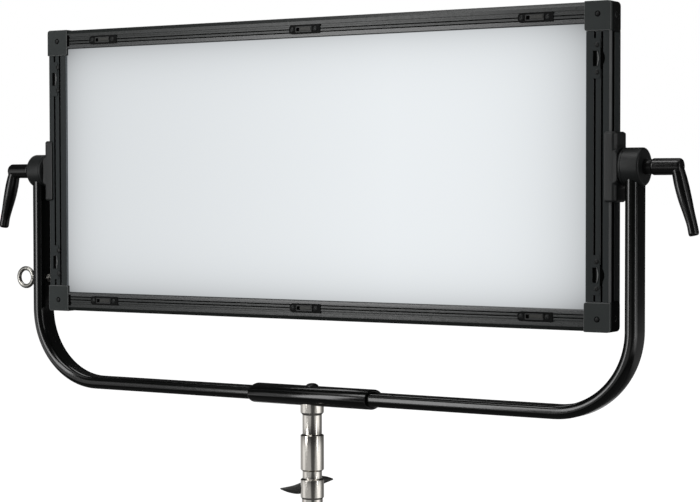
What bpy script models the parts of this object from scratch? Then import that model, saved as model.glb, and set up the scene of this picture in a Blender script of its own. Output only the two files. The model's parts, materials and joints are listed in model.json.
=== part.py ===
"""LED panel light on a tilting yoke, modelled as separate sub-parts in metres, +Z up.

The origin is the centre of the spigot's lower end. The tilt axis runs along X, PIVOT_Z above it.
Every coordinate below is relative to the tilt axis: the parts hang from an empty placed there.
X runs along the panel, Y points to the back, and the light comes out at the front (-Y).
"""

import math

import bmesh
import bpy
from mathutils import Matrix, Vector

MM = 0.001
GAP = 0.3 * MM

# Light head
PIVOT_Z = 410 * MM
PANEL_W = 802 * MM
PANEL_H = 366 * MM
APERTURE_W = 741 * MM
APERTURE_H = 317.6 * MM
FRONT_Y = -15.3 * MM
FRAME_DEPTH = 25 * MM
FRONT_WALL = 5 * MM
SIDE_WALL = 3.5 * MM
CHAMFER = 3 * MM
CAP_INNER_X = 369 * MM
CAP_INNER_Z = 150.6 * MM
CAP_PROUD = 0.8 * MM
CAP_SCREW_AT = (384.5 * MM, 168.4 * MM)
CAP_SCREW_R = 2.6 * MM
CAP_SCREW_DEPTH = 1.6 * MM
SIDE_LINE = (7.2 * MM, 3.0 * MM, 1.6 * MM)
SIDE_GROOVES = (381.6 * MM, 389.8 * MM)
SIDE_GROOVE = (2.4 * MM, 2.5 * MM)
TOP_GROOVES = (164.9 * MM, 168.8 * MM, 173.0 * MM)
TOP_GROOVE = (1.0 * MM, 1.2 * MM)

# Accessory catches on the front of the frame
CATCH = (44.5 * MM, 11 * MM, 1.6 * MM)
CATCH_SPREAD = 309 * MM
CATCH_Z = 168.6 * MM
SIDE_CATCH = (14 * MM, 44.5 * MM, 1.6 * MM)
SIDE_CATCH_X = 384.5 * MM
SIDE_CATCH_Z = 120 * MM

# Optics and cooling, as depths behind the front face
DIFFUSER = (5.4 * MM, 8.4 * MM)
DIFFUSER_HALF = (394 * MM, 176 * MM)
DIFFUSER_FACE = 2 * MM
TRAY = (8.8 * MM, 37.6 * MM)
TRAY_BACK_HALF = (374 * MM, 157 * MM)
TRAY_WALL = 1.2 * MM
TRAY_LEAD = 5 * MM
LED_BOARD = (34.2 * MM, 35.8 * MM)
LED_BOARD_HALF = (368 * MM, 150 * MM)
SINK_BASE = (38.2 * MM, 42.2 * MM)
SINK_HALF_X = 373 * MM
SINK_HEIGHT = 300 * MM
SINK_FINS_END = 60 * MM
FIN_COUNT = 31
FIN_PITCH = 24 * MM
FIN_THICK = 1.8 * MM
FAN = (61.2 * MM, 73.2 * MM)
FAN_X = 290 * MM
FAN_SIDE = 92 * MM
FAN_HOLE_R = 42.5 * MM
ROTOR_R = 41 * MM
FAN_ARM = 44 * MM
FAN_ARMS = 3
ROTOR_HUB_R = 15 * MM
BLADES = 7
BLADE_ROOT_R = 12 * MM
BLADE_TWIST = math.radians(52)

# Rear cover and control housing
COVER_BACK = 77 * MM
COVER_WALL = 2 * MM
COVER_INSET = 20 * MM
VENT = (76 * MM, 8 * MM, 4.2 * MM)
VENT_COUNT = 8
VENT_PITCH = 9.5 * MM
INTAKE = (34 * MM, 9 * MM, 24 * MM)
INTAKE_COUNT = 15
INTAKE_PITCH = 44 * MM
INTAKE_DEPTH = 55 * MM
INTAKE_Z = 168 * MM
CABLE_PASS_HALF = (60 * MM, 20 * MM)
HOUSING_X = 200 * MM
HOUSING_Z = (-115 * MM, 70 * MM)
HOUSING_BACK = 118 * MM
HOUSING_ROUND = 7 * MM
PANEL_PLATE_X = 150 * MM
PANEL_PLATE_Z = (-105 * MM, 57 * MM)
PANEL_PLATE = 2 * MM

# Yoke
HUB_R = 21.4 * MM
HUB_X = (411.4 * MM, 428 * MM, 435.5 * MM)
HUB_FACE_R = 13.9 * MM
STUD_R = 5 * MM
STUD_X = (401.6 * MM, 462 * MM)
BRACKET_H = 78.4 * MM
WASHER = 1.4 * MM
WASHER_X = 409.8 * MM
ARM_X = 423.8 * MM
TUBE_A = 8.25 * MM
TUBE_B = 18.4 * MM
TUBE_WALL = 2.2 * MM
RUN_Z = -276.5 * MM
BEND_R = 94.7 * MM
BEND_STEPS = 12
TUBE_END_X = 7 * MM
SLEEVE_X = (-81 * MM, 87 * MM)
SLEEVE_A = 12.1 * MM
SLEEVE_B = 22.0 * MM
BOLT_R = 4 * MM

# Spigot
SPIGOT_R = 14.3 * MM
SPIGOT_NECK_R = 11.9 * MM
SPIGOT_TIP_R = 12.8 * MM
RECEIVER_R = 8.1 * MM
RECEIVER_DEPTH = 50 * MM
WING_Z = -389.5 * MM
WING_AXIS = Vector((-0.7, 0.714, 0.0)).normalized()
WING_REACH = 29
WING_TILT = math.radians(-12)

# Safety eye and ratchet levers
EYE_Z = -141.8 * MM
EYE_X = 454 * MM
EYE_RING_R = 11.9 * MM
EYE_WIRE_R = 2.95 * MM
EYE_SHANK_R = 3 * MM
LEVER_COLLAR_R = 8.4 * MM
LEVER_CORE_R = 6.6 * MM
LEVER_HUB_R = 9.3 * MM
LEVER_ARM_R = 8.8 * MM
LEVER_STRETCH = 1.3
LEVER_X = (435.8 * MM, 444.7 * MM, 469 * MM, 479 * MM)

SIDES = (("left", -1), ("right", 1))
LEVELS = (("top", 1), ("bottom", -1))


def clear_scene():
    for obj in list(bpy.data.objects):
        bpy.data.objects.remove(obj, do_unlink=True)


clear_scene()
PARTS = bpy.data.collections.new("led_panel_light")
CUTTERS = bpy.data.collections.new("cutters")
for group in (PARTS, CUTTERS):
    bpy.context.scene.collection.children.link(group)
PIVOT = bpy.data.objects.new("pivot", None)
PIVOT.location = (0, 0, PIVOT_Z)
PARTS.objects.link(PIVOT)


def material(name, colour, roughness, metallic=0.0):
    made = bpy.data.materials.new(name)
    made.use_nodes = True
    shader = made.node_tree.nodes["Principled BSDF"]
    shader.inputs["Base Color"].default_value = (*colour, 1)
    shader.inputs["Roughness"].default_value = roughness
    shader.inputs["Metallic"].default_value = metallic
    return made


MATERIALS = {
    "frame": material("frame_anodised", (0.035, 0.04, 0.04), 0.45, 0.6),
    "cap": material("cap_plastic", (0.04, 0.045, 0.045), 0.6),
    "opal": material("opal_diffuser", (0.85, 0.88, 0.9), 0.5),
    "white": material("white_reflector", (0.9, 0.9, 0.9), 0.7),
    "board": material("led_board", (0.85, 0.85, 0.8), 0.5),
    "alloy": material("bare_aluminium", (0.6, 0.6, 0.6), 0.4, 1.0),
    "shell": material("painted_shell", (0.03, 0.03, 0.032), 0.5, 0.2),
    "black": material("black_plastic", (0.012, 0.012, 0.012), 0.4),
    "gloss": material("gloss_black", (0.006, 0.006, 0.006), 0.15),
    "steel": material("nickel_steel", (0.7, 0.68, 0.64), 0.25, 1.0),
    "zinc": material("zinc_steel", (0.4, 0.4, 0.38), 0.4, 1.0),
    "glass": material("window", (0.02, 0.03, 0.04), 0.1),
    "rubber": material("rubber", (0.02, 0.02, 0.02), 0.8),
}


def add(name, mesh, look, at=(0, 0, 0), turn=None):
    """Links one part, hung from the pivot empty."""
    obj = bpy.data.objects.new(name, mesh)
    mesh.materials.clear()
    mesh.materials.append(MATERIALS[look])
    PARTS.objects.link(obj)
    obj.parent = PIVOT
    obj.location = at
    if turn is not None:
        obj.rotation_euler = turn.to_euler()
    return obj


def helper(obj):
    """Turns a part into a hidden helper for a Boolean."""
    PARTS.objects.unlink(obj)
    CUTTERS.objects.link(obj)
    obj.hide_render = True
    obj.display_type = "WIRE"
    return obj


def boolean(obj, operation, other):
    step = obj.modifiers.new(operation.lower(), "BOOLEAN")
    step.operation = operation
    step.solver = "EXACT"
    step.object = helper(other)
    return obj


def cut(obj, *cutters):
    for cutter in cutters:
        boolean(obj, "DIFFERENCE", cutter)
    return obj


def join(obj, *others):
    for other in others:
        boolean(obj, "UNION", other)
    return obj


def box_mesh(low, high):
    size = Vector(high) - Vector(low)
    shape = bmesh.new()
    bmesh.ops.create_cube(shape, size=1, matrix=Matrix.Diagonal((*size, 1)))
    mesh = bpy.data.meshes.new("box")
    shape.to_mesh(mesh)
    shape.free()
    return mesh


def box(name, low, high, look, bevel=0.0, segments=1):
    """A block between two corners, with its origin at its centre."""
    obj = add(name, box_mesh(low, high), look, (Vector(low) + Vector(high)) / 2)
    if bevel:
        edge = obj.modifiers.new("bevel", "BEVEL")
        edge.width = bevel
        edge.segments = segments
    return obj


def turned(name, profile, look, at=(0, 0, 0), turn=None, steps=32):
    """Spins (radius, height) points about the local Z axis, listed from the top down."""
    mesh = bpy.data.meshes.new(name)
    closed = profile[0] == profile[-1]
    points = [(r, 0, z) for r, z in (profile[:-1] if closed else profile)]
    edges = [(i, i + 1) for i in range(len(points) - 1)]
    if closed:
        edges.append((len(points) - 1, 0))
    mesh.from_pydata(points, edges, [])
    obj = add(name, mesh, look, at, turn)
    spin = obj.modifiers.new("spin", "SCREW")
    spin.steps = steps
    spin.render_steps = steps
    spin.use_merge_vertices = True
    spin.merge_threshold = 0.00001
    return obj


def rod(name, radius, start, end, look, sides=24):
    """A straight round bar between two points."""
    start, end = Vector(start), Vector(end)
    shape = bmesh.new()
    bmesh.ops.create_cone(
        shape, cap_ends=True, segments=sides, radius1=radius, radius2=radius, depth=(end - start).length
    )
    mesh = bpy.data.meshes.new(name)
    shape.to_mesh(mesh)
    shape.free()
    turn = (end - start).to_track_quat("Z", "Y")
    return add(name, mesh, look, (start + end) / 2, turn)


def curve_to_mesh(curve_obj, name, look, stretch=(1, 1, 1)):
    """Makes a curve's evaluated shape a welded mesh, scaled along the axes about its origin."""
    graph = bpy.context.evaluated_depsgraph_get()
    mesh = bpy.data.meshes.new_from_object(curve_obj.evaluated_get(graph))
    shape = bmesh.new()
    shape.from_mesh(mesh)
    bmesh.ops.remove_doubles(shape, verts=shape.verts, dist=0.000001)
    bmesh.ops.scale(shape, verts=shape.verts, vec=stretch)
    bmesh.ops.recalc_face_normals(shape, faces=shape.faces)
    shape.to_mesh(mesh)
    shape.free()
    bpy.data.objects.remove(curve_obj, do_unlink=True)
    return add(name, mesh, look)


def extruded(name, outline, thickness, look, turn=None, at=(0, 0, 0)):
    """A flat outline in local XY, extruded by half its thickness to either side along local Z."""
    curve = bpy.data.curves.new(name, "CURVE")
    curve.dimensions = "2D"
    curve.fill_mode = "BOTH"
    curve.extrude = thickness / 2
    spline = curve.splines.new("POLY")
    spline.points.add(len(outline) - 1)
    for point, (x, y) in zip(spline.points, outline):
        point.co = (x, y, 0, 1)
    spline.use_cyclic_u = True
    flat = bpy.data.objects.new(name, curve)
    PARTS.objects.link(flat)
    obj = curve_to_mesh(flat, name, look)
    obj.location = at
    if turn is not None:
        obj.rotation_euler = turn.to_euler()
    return obj


def tube(name, points, radius, look, stretch_y, sides_resolution=3):
    """A bar swept along points in the XZ plane, its round section stretched along Y to an ellipse."""
    curve = bpy.data.curves.new(name, "CURVE")
    curve.dimensions = "3D"
    curve.bevel_depth = radius
    curve.bevel_resolution = sides_resolution
    curve.use_fill_caps = True
    spline = curve.splines.new("POLY")
    spline.points.add(len(points) - 1)
    for point, (x, z, scale) in zip(spline.points, points):
        point.co = (x, 0, z, 1)
        point.radius = scale
    swept = bpy.data.objects.new(name, curve)
    PARTS.objects.link(swept)
    return curve_to_mesh(swept, name, look, (1, stretch_y, 1))


def axes(x_to, y_to, z_to):
    """The rotation that carries the local axes to three given directions."""
    return Matrix((x_to, y_to, z_to)).transposed().to_quaternion()


ALONG_X = axes((0, 1, 0), (0, 0, 1), (1, 0, 0))
ALONG_MINUS_X = axes((0, 1, 0), (0, 0, -1), (-1, 0, 0))
ALONG_Y = axes((0, 0, 1), (1, 0, 0), (0, 1, 0))


def depth(value):
    """The Y coordinate at a depth behind the front face."""
    return FRONT_Y + value


def rail_outline(inner, outer, grooves, groove):
    """A rail's section as (depth, distance from the panel's centre line)."""
    width, sunk = groove
    points = [(0, inner)]
    for centre in grooves:
        points += [(0, centre - width / 2), (sunk, centre - width / 2)]
        points += [(sunk, centre + width / 2), (0, centre + width / 2)]
    points += [(0, outer - CHAMFER), (CHAMFER, outer)]
    line, line_width, line_sunk = SIDE_LINE
    points += [(line, outer), (line, outer - line_sunk)]
    points += [(line + line_width, outer - line_sunk), (line + line_width, outer)]
    points += [(FRAME_DEPTH, outer), (FRAME_DEPTH, outer - SIDE_WALL)]
    points += [(FRONT_WALL, outer - SIDE_WALL), (FRONT_WALL, inner)]
    return [(depth(y), away) for y, away in points]


def rails():
    length = 2 * (CAP_INNER_X - GAP)
    for level, sign in LEVELS:
        outline = rail_outline(APERTURE_H / 2, PANEL_H / 2, TOP_GROOVES, TOP_GROOVE)
        outline = [(y, sign * z) for y, z in outline]
        extruded(f"{level}_rail", outline, length, "frame", ALONG_X)
    length = 2 * (CAP_INNER_Z - GAP)
    for side, sign in SIDES:
        outline = rail_outline(APERTURE_W / 2, PANEL_W / 2, SIDE_GROOVES, SIDE_GROOVE)
        outline = [(sign * x, y) for y, x in outline]
        extruded(f"{side}_rail", outline, length, "frame")


def corner_caps():
    outer_x = PANEL_W / 2 + CAP_PROUD
    outer_z = PANEL_H / 2 + CAP_PROUD
    wall_x = PANEL_W / 2 - SIDE_WALL
    wall_z = PANEL_H / 2 - SIDE_WALL
    for level, up in LEVELS:
        for side, out in SIDES:
            name = f"corner_cap_{level}_{side}"
            xs = sorted((out * CAP_INNER_X, out * outer_x))
            zs = sorted((up * CAP_INNER_Z, up * outer_z))
            low = (xs[0], depth(-CAP_PROUD), zs[0])
            high = (xs[1], depth(FRAME_DEPTH), zs[1])
            cap = box(name, low, high, "cap", 1.6 * MM, 2)
            hollow = box(
                name + "_hollow",
                (-wall_x, depth(FRONT_WALL), -wall_z),
                (wall_x, depth(2 * FRAME_DEPTH), wall_z),
                "cap",
            )
            screw_x, screw_z = out * CAP_SCREW_AT[0], up * CAP_SCREW_AT[1]
            screw_hole = rod(
                name + "_screw_hole",
                CAP_SCREW_R,
                (screw_x, depth(-5 * MM), screw_z),
                (screw_x, depth(CAP_SCREW_DEPTH), screw_z),
                "cap",
                12,
            )
            cut(cap, hollow, screw_hole)


def catch_outline(length, height):
    """A bar with round ends, as points in its own plane."""
    radius = height / 2
    points = []
    for centre, start in ((length / 2 - radius, -90), (-length / 2 + radius, 90)):
        for step in range(5):
            angle = math.radians(start + 45 * step)
            points.append((centre + radius * math.cos(angle), radius * math.sin(angle)))
    return points


def accessory_catches():
    flat = axes((1, 0, 0), (0, 0, 1), (0, -1, 0))
    upright = axes((0, 0, 1), (-1, 0, 0), (0, -1, 0))
    length, height, thick = CATCH
    side_width, side_length, side_thick = SIDE_CATCH
    for level, up in LEVELS:
        for place, along in (("left", -1), ("centre", 0), ("right", 1)):
            name = f"accessory_catch_{level}_{place}"
            at = (along * CATCH_SPREAD, depth(-GAP - thick / 2), up * CATCH_Z)
            extruded(name, catch_outline(length, height), thick, "cap", flat, at)
        for side, out in SIDES:
            name = f"side_catch_{level}_{side}"
            at = (out * SIDE_CATCH_X, depth(-GAP - side_thick / 2), up * SIDE_CATCH_Z)
            extruded(name, catch_outline(side_length, side_width), side_thick, "cap", upright, at)


def frustum(name, front, back, front_half, back_half, look):
    """A block that tapers evenly from its front face to its back face, given as half sizes."""
    shape = bmesh.new()
    bmesh.ops.create_cube(shape, size=2)
    for vert in shape.verts:
        at_front = vert.co.y < 0
        half = front_half if at_front else back_half
        vert.co = (vert.co.x * half[0], depth(front if at_front else back), vert.co.z * half[1])
    mesh = bpy.data.meshes.new(name)
    shape.to_mesh(mesh)
    shape.free()
    return add(name, mesh, look)


def open_tray(name, front, back, front_half, back_half, wall, look):
    """A tapered tray, open at the front, with walls of even thickness."""
    tray = frustum(name, front, back, front_half, back_half, look)
    lead = TRAY_LEAD / (back - front)
    inner_back = [half - wall for half in back_half]
    inner_front = [f - wall + (f - b) * lead for f, b in zip(front_half, back_half)]
    hollow = frustum(name + "_hollow", front - TRAY_LEAD, back - wall, inner_front, inner_back, look)
    return cut(tray, hollow)


def sheet(name, half, depths, look):
    """A flat rectangle behind the front face, given by its half size and its two depths."""
    half_x, half_z = half
    front, back = depths
    return box(name, (-half_x, depth(front), -half_z), (half_x, depth(back), half_z), look)


def optics():
    diffuser = sheet("diffuser", DIFFUSER_HALF, DIFFUSER, "opal")
    depths = (DIFFUSER_FACE, DIFFUSER[1] - MM)
    wide = sheet("diffuser_wide", (APERTURE_W / 2 - GAP, CAP_INNER_Z - GAP), depths, "opal")
    tall = sheet("diffuser_tall", (CAP_INNER_X - GAP, APERTURE_H / 2 - GAP), depths, "opal")
    join(diffuser, wide, tall)
    open_tray("reflector_tray", *TRAY, DIFFUSER_HALF, TRAY_BACK_HALF, TRAY_WALL, "white")
    sheet("led_board", LED_BOARD_HALF, LED_BOARD, "board")


def heat_sink():
    """A base plate with upright fins, drawn as one comb and extruded upwards."""
    half = SINK_HALF_X
    root, tip = depth(SINK_BASE[1]), depth(SINK_FINS_END)
    points = [(half, depth(SINK_BASE[0])), (half, root)]
    for index in range(FIN_COUNT):
        centre = (FIN_COUNT - 1) * FIN_PITCH / 2 - index * FIN_PITCH
        near, far = centre + FIN_THICK / 2, centre - FIN_THICK / 2
        points += [(near, root), (near, tip), (far, tip), (far, root)]
    points += [(-half, root), (-half, depth(SINK_BASE[0]))]
    extruded("heat_sink", points, SINK_HEIGHT, "alloy")


def fans():
    half = FAN_SIDE / 2
    front, back = depth(FAN[0]), depth(FAN[1])
    for side, out in SIDES:
        x = out * FAN_X
        frame = box(f"fan_frame_{side}", (x - half, front, -half), (x + half, back, half), "black")
        hole_name = f"fan_hole_{side}"
        cut(frame, rod(hole_name, FAN_HOLE_R, (x, front - MM, 0), (x, back + MM, 0), "black"))
        arms = []
        for index in range(FAN_ARMS):
            name = f"fan_arm_{side}_{index}"
            arm = box(name, (-3 * MM, -MM, -FAN_ARM / 2), (3 * MM, MM, FAN_ARM / 2), "black")
            angle = 2 * math.pi * index / FAN_ARMS
            reach = Vector((math.sin(angle), 0, math.cos(angle))) * FAN_ARM / 2
            arm.location = Vector((x, back - 1.2 * MM, 0)) + reach
            arm.rotation_euler = (0, angle, 0)
            arms.append(arm)
        seat_ends = ((x, back - 2.4 * MM, 0), (x, back - 0.2 * MM, 0))
        seat = rod(f"fan_seat_{side}", ROTOR_HUB_R, *seat_ends, "black")
        join(frame, *arms, seat)
        fan_rotor(side, x)


def fan_rotor(side, x):
    """A hub with twisted blades, its origin on its own axis."""
    front, back = depth(FAN[0] + 0.8 * MM), depth(FAN[1] - 3.2 * MM)
    middle = (front + back) / 2
    half = (back - front) / 2
    rotor = rod(f"fan_rotor_{side}", ROTOR_HUB_R, (x, front, 0), (x, back, 0), "black", 28)
    twist = Matrix.Rotation(BLADE_TWIST, 3, "Z")
    blades = []
    for index in range(BLADES):
        name = f"fan_blade_{side}_{index}"
        blade = box(name, (-MM, -half * 1.2, BLADE_ROOT_R), (MM, half * 1.2, ROTOR_R), "black")
        angle = 2 * math.pi * index / BLADES
        out = Vector((math.sin(angle), 0, math.cos(angle)))
        blade.location = Vector((x, middle, 0)) + out * (BLADE_ROOT_R + ROTOR_R) / 2
        blade.rotation_euler = (Matrix.Rotation(angle, 3, "Y") @ twist).to_euler()
        blades.append(blade)
    join(rotor, *blades)


def slots(name, count, pitch, size, centre, along):
    """One cutter made of evenly spaced blocks along X or Z."""
    shape = bmesh.new()
    for index in range(count):
        shift = (index - (count - 1) / 2) * pitch
        place = Matrix.Translation(Vector(centre) + Vector(along) * shift)
        bmesh.ops.create_cube(shape, size=1, matrix=place @ Matrix.Diagonal((*size, 1)))
    mesh = bpy.data.meshes.new(name)
    shape.to_mesh(mesh)
    shape.free()
    return add(name, mesh, "shell")


def rear_cover():
    front_half = (PANEL_W / 2 - 2 * MM, PANEL_H / 2 - 2 * MM)
    back_half = (front_half[0] - COVER_INSET, front_half[1] - COVER_INSET)
    cover = open_tray(
        "rear_cover", FRAME_DEPTH + GAP, COVER_BACK, front_half, back_half, COVER_WALL, "shell"
    )
    for side, out in SIDES:
        centre = (out * FAN_X, depth(COVER_BACK), 0)
        cut(cover, slots(f"vent_{side}", VENT_COUNT, VENT_PITCH, VENT, centre, (0, 0, 1)))
    for level, up in LEVELS:
        centre = (0, depth(INTAKE_DEPTH), up * INTAKE_Z)
        cut(cover, slots(f"intake_{level}", INTAKE_COUNT, INTAKE_PITCH, INTAKE, centre, (1, 0, 0)))
    cut(cover, sheet("cable_pass", CABLE_PASS_HALF, (COVER_BACK - 7 * MM, COVER_BACK + 7 * MM), "shell"))


def control_housing():
    mesh = box_mesh(
        (-HOUSING_X, depth(COVER_BACK + GAP), HOUSING_Z[0]), (HOUSING_X, depth(HOUSING_BACK), HOUSING_Z[1])
    )
    shape = bmesh.new()
    shape.from_mesh(mesh)
    bmesh.ops.delete(shape, geom=[f for f in shape.faces if f.normal.y < -0.9], context="FACES_ONLY")
    rims = [e for e in shape.edges if not e.is_boundary]
    bmesh.ops.bevel(shape, geom=rims, offset=HOUSING_ROUND, segments=2, profile=0.5, affect="EDGES")
    shape.to_mesh(mesh)
    shape.free()
    middle = (depth(COVER_BACK + GAP) + depth(HOUSING_BACK)) / 2
    housing = add("control_housing", mesh, "shell", (0, middle, sum(HOUSING_Z) / 2))
    shell = housing.modifiers.new("shell", "SOLIDIFY")
    shell.thickness = COVER_WALL
    shell.offset = -1
    shell.use_even_offset = True
    rim = 10 * MM
    window = box(
        "housing_window",
        (-PANEL_PLATE_X + rim, depth(HOUSING_BACK - 6 * MM), PANEL_PLATE_Z[0] + rim),
        (PANEL_PLATE_X - rim, depth(HOUSING_BACK + 6 * MM), PANEL_PLATE_Z[1] - rim),
        "shell",
    )
    cut(housing, window)


# Controls on the back: (x, z) of each, on the panel plate
PLATE_FRONT = FRONT_Y + HOUSING_BACK + GAP
PLATE_BACK = PLATE_FRONT + PANEL_PLATE
DISPLAY_AT = (70 * MM, 12 * MM)
DISPLAY = (74 * MM, 40 * MM)
ENCODER_AT = (-38 * MM, 12 * MM)
BUTTONS = (("menu", (4 * MM, 24 * MM)), ("back", (4 * MM, 0)))
SWITCH_AT = (-112 * MM, 12 * MM)
SWITCH = (15 * MM, 22 * MM)
SOCKETS = (
    ("power_inlet", (-100 * MM, -66 * MM), 10.8 * MM, "black"),
    ("dmx_input", (0, -66 * MM), 9.6 * MM, "alloy"),
    ("dmx_output", (80 * MM, -66 * MM), 9.6 * MM, "alloy"),
)
SOCKET_BODY_R = 13 * MM
SOCKET_RECESS = 11 * MM
BUTTON_R = 5 * MM


def hole(name, radius, x, z, sides=16):
    """A round cutter through the panel plate."""
    return rod(name, radius, (x, PLATE_FRONT - 4 * MM, z), (x, PLATE_BACK + 4 * MM, z), "shell", sides)


def window_block(name, at, size, low, high, look):
    """A block with a given centre and size on the panel plate, between two Y coordinates."""
    x, z = at
    half_w, half_h = size[0] / 2, size[1] / 2
    return box(name, (x - half_w, low, z - half_h), (x + half_w, high, z + half_h), look)


def rear_controls():
    plate = box(
        "control_panel",
        (-PANEL_PLATE_X, PLATE_FRONT, PANEL_PLATE_Z[0]),
        (PANEL_PLATE_X, PLATE_BACK, PANEL_PLATE_Z[1]),
        "shell",
    )
    through = (PLATE_FRONT - 3 * MM, PLATE_BACK + 3 * MM)
    display_hole = [side + 2 * GAP for side in DISPLAY]
    switch_hole = [side + 1.3 * MM for side in SWITCH]
    cutters = [
        window_block("display_hole", DISPLAY_AT, display_hole, *through, "shell"),
        window_block("switch_hole", SWITCH_AT, switch_hole, *through, "shell"),
        hole("encoder_hole", 3.4 * MM, *ENCODER_AT),
    ]
    display_faces = (PLATE_FRONT - 0.5 * MM, PLATE_BACK + 0.6 * MM)
    window_block("display_window", DISPLAY_AT, DISPLAY, *display_faces, "glass")
    encoder(*ENCODER_AT)
    rocker(*SWITCH_AT)
    for label, (x, z) in BUTTONS:
        cutters.append(hole(f"{label}_hole", BUTTON_R + 0.4 * MM, x, z))
        ends = ((x, PLATE_FRONT - 2 * MM, z), (x, PLATE_BACK + 2.6 * MM, z))
        rod(f"{label}_button", BUTTON_R, *ends, "rubber", 20)
    for name, (x, z), bore, look in SOCKETS:
        cutters.append(hole(f"{name}_hole", SOCKET_BODY_R + 2 * GAP, x, z, 20))
        socket(name, x, z, bore, look)
    cut(plate, *cutters)


def encoder(x, z):
    """A push shaft through the plate, and the knob that turns on it."""
    turn = axes((1, 0, 0), (0, 0, -1), (0, 1, 0))
    shaft = [(0, 9), (2.6, 9), (2.6, -4.8), (5, -4.8), (5, -7.5), (0, -7.5)]
    knob = [(0, 15), (10.5, 15), (12, 13.5), (12, 0), (2.9, 0), (2.9, 9.6), (0, 9.6)]
    for name, profile, lift, look in (
        ("encoder_shaft", shaft, 2.4 * MM, "alloy"),
        ("encoder_knob", knob, 2 * MM, "black"),
    ):
        points = [(r * MM, h * MM) for r, h in profile]
        turned(name, points, look, (x, PLATE_BACK + lift, z), turn, 24)


def rocker(x, z):
    """A rocker that tips about a pin along X, drawn from the side as a shallow V."""
    half = SWITCH[1] / 2
    foot = half - 1.6 * MM
    points = [(-half, 2.2 * MM), (0, 0.2 * MM), (half, 2.2 * MM), (foot, -4 * MM), (-foot, -4 * MM)]
    turn = axes((0, 0, 1), (0, 1, 0), (-1, 0, 0))
    extruded("power_switch", points, SWITCH[0], "black", turn, (x, PLATE_BACK + MM, z))


def socket(name, x, z, bore, look):
    """A round panel socket: a flange outside the plate, and a body behind it with a blind recess."""
    turn = axes((1, 0, 0), (0, 0, -1), (0, 1, 0))
    flange = SOCKET_BODY_R + 3.5 * MM
    profile = [
        (0, -SOCKET_RECESS),
        (bore, -SOCKET_RECESS),
        (bore, 3 * MM),
        (flange - MM, 3 * MM),
        (flange, 2 * MM),
        (flange, GAP),
        (SOCKET_BODY_R, GAP),
        (SOCKET_BODY_R, -16 * MM),
        (0, -16 * MM),
    ]
    turned(name, profile, look, (x, PLATE_BACK, z), turn, 20)


def electronics():
    box(
        "power_supply",
        (-185 * MM, depth(COVER_BACK + 4 * MM), -45 * MM),
        (-25 * MM, depth(COVER_BACK + 30 * MM), 50 * MM),
        "alloy",
        1.5 * MM,
    )
    box(
        "control_board",
        (-15 * MM, depth(COVER_BACK + 18 * MM), -42 * MM),
        (150 * MM, depth(COVER_BACK + 19.6 * MM), 48 * MM),
        "board",
    )


def pivot_brackets():
    """Side blocks that carry the tilt studs: a plate on the rail's side with a lip over its front."""
    section = [
        (393.5, -0.3),
        (401.3, -0.3),
        (401.3, 27),
        (405.5, 28.5),
        (408, 26.5),
        (408, 4),
        (404.5, -1.6),
        (402.5, -2.3),
        (393.5, -2.3),
    ]
    boss_r = HUB_R + 3 * MM
    boss_profile = [(0, 2 * MM), (HUB_R, 2 * MM), (boss_r, -0.8 * MM), (boss_r, -5 * MM), (0, -5 * MM)]
    for side, out in SIDES:
        outline = [(out * x * MM, depth(y * MM)) for x, y in section]
        bracket = extruded(f"pivot_bracket_{side}", outline, BRACKET_H, "shell")
        ends = bracket.modifiers.new("ends", "BEVEL")
        ends.width = 1.2 * MM
        ends.segments = 1
        ends.limit_method = "ANGLE"
        ends.angle_limit = math.radians(80)
        direction = ALONG_X if out > 0 else ALONG_MINUS_X
        boss = turned(f"boss_{side}", boss_profile, "shell", (out * 407.5 * MM, 0, 0), direction)
        trim_x = sorted((out * 395 * MM, out * 420 * MM))
        trim = box(
            f"boss_trim_{side}",
            (trim_x[0], depth(-40 * MM), -60 * MM),
            (trim_x[1], depth(-2.2 * MM), 60 * MM),
            "shell",
        )
        bore_ends = ((out * 390 * MM, 0, 0), (out * 420 * MM, 0, 0))
        bore = rod(f"stud_bore_{side}", STUD_R + GAP, *bore_ends, "shell")
        join(bracket, boss)
        cut(bracket, trim, bore)
        stud_ends = ((out * STUD_X[0], 0, 0), (out * STUD_X[1], 0, 0))
        rod(f"pivot_stud_{side}", STUD_R, *stud_ends, "zinc")
        ring = [
            (STUD_R + GAP, WASHER),
            (HUB_R - 1.2 * MM, WASHER),
            (HUB_R - 1.2 * MM, 0),
            (STUD_R + GAP, 0),
            (STUD_R + GAP, WASHER),
        ]
        turned(f"friction_washer_{side}", ring, "rubber", (out * WASHER_X, 0, 0), direction, 20)


def hubs():
    for side, out in SIDES:
        start, shoulder, face = HUB_X
        bore = STUD_R + GAP
        rise = face - shoulder
        profile = [(bore, face), (HUB_FACE_R, face)]
        for step in range(1, 5):
            angle = math.radians(90 - 22.5 * step)
            profile.append((HUB_FACE_R + rise * math.cos(angle), shoulder + rise * math.sin(angle)))
        profile += [(HUB_R, start), (bore, start), (bore, face)]
        turned(f"yoke_hub_{side}", profile, "shell", (0, 0, 0), ALONG_X if out > 0 else ALONG_MINUS_X, 24)


def yoke_path(top, end_x, out):
    """Down one arm, round the bend and along the bottom, as (x, z, radius scale)."""
    points = [(out * ARM_X, top, 1)]
    for step in range(BEND_STEPS + 1):
        angle = math.pi / 2 * step / BEND_STEPS
        x = ARM_X - BEND_R + BEND_R * math.cos(angle)
        z = RUN_Z + BEND_R - BEND_R * math.sin(angle)
        points.append((out * x, z, 1))
    points.append((out * end_x, RUN_Z, 1))
    return points


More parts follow.
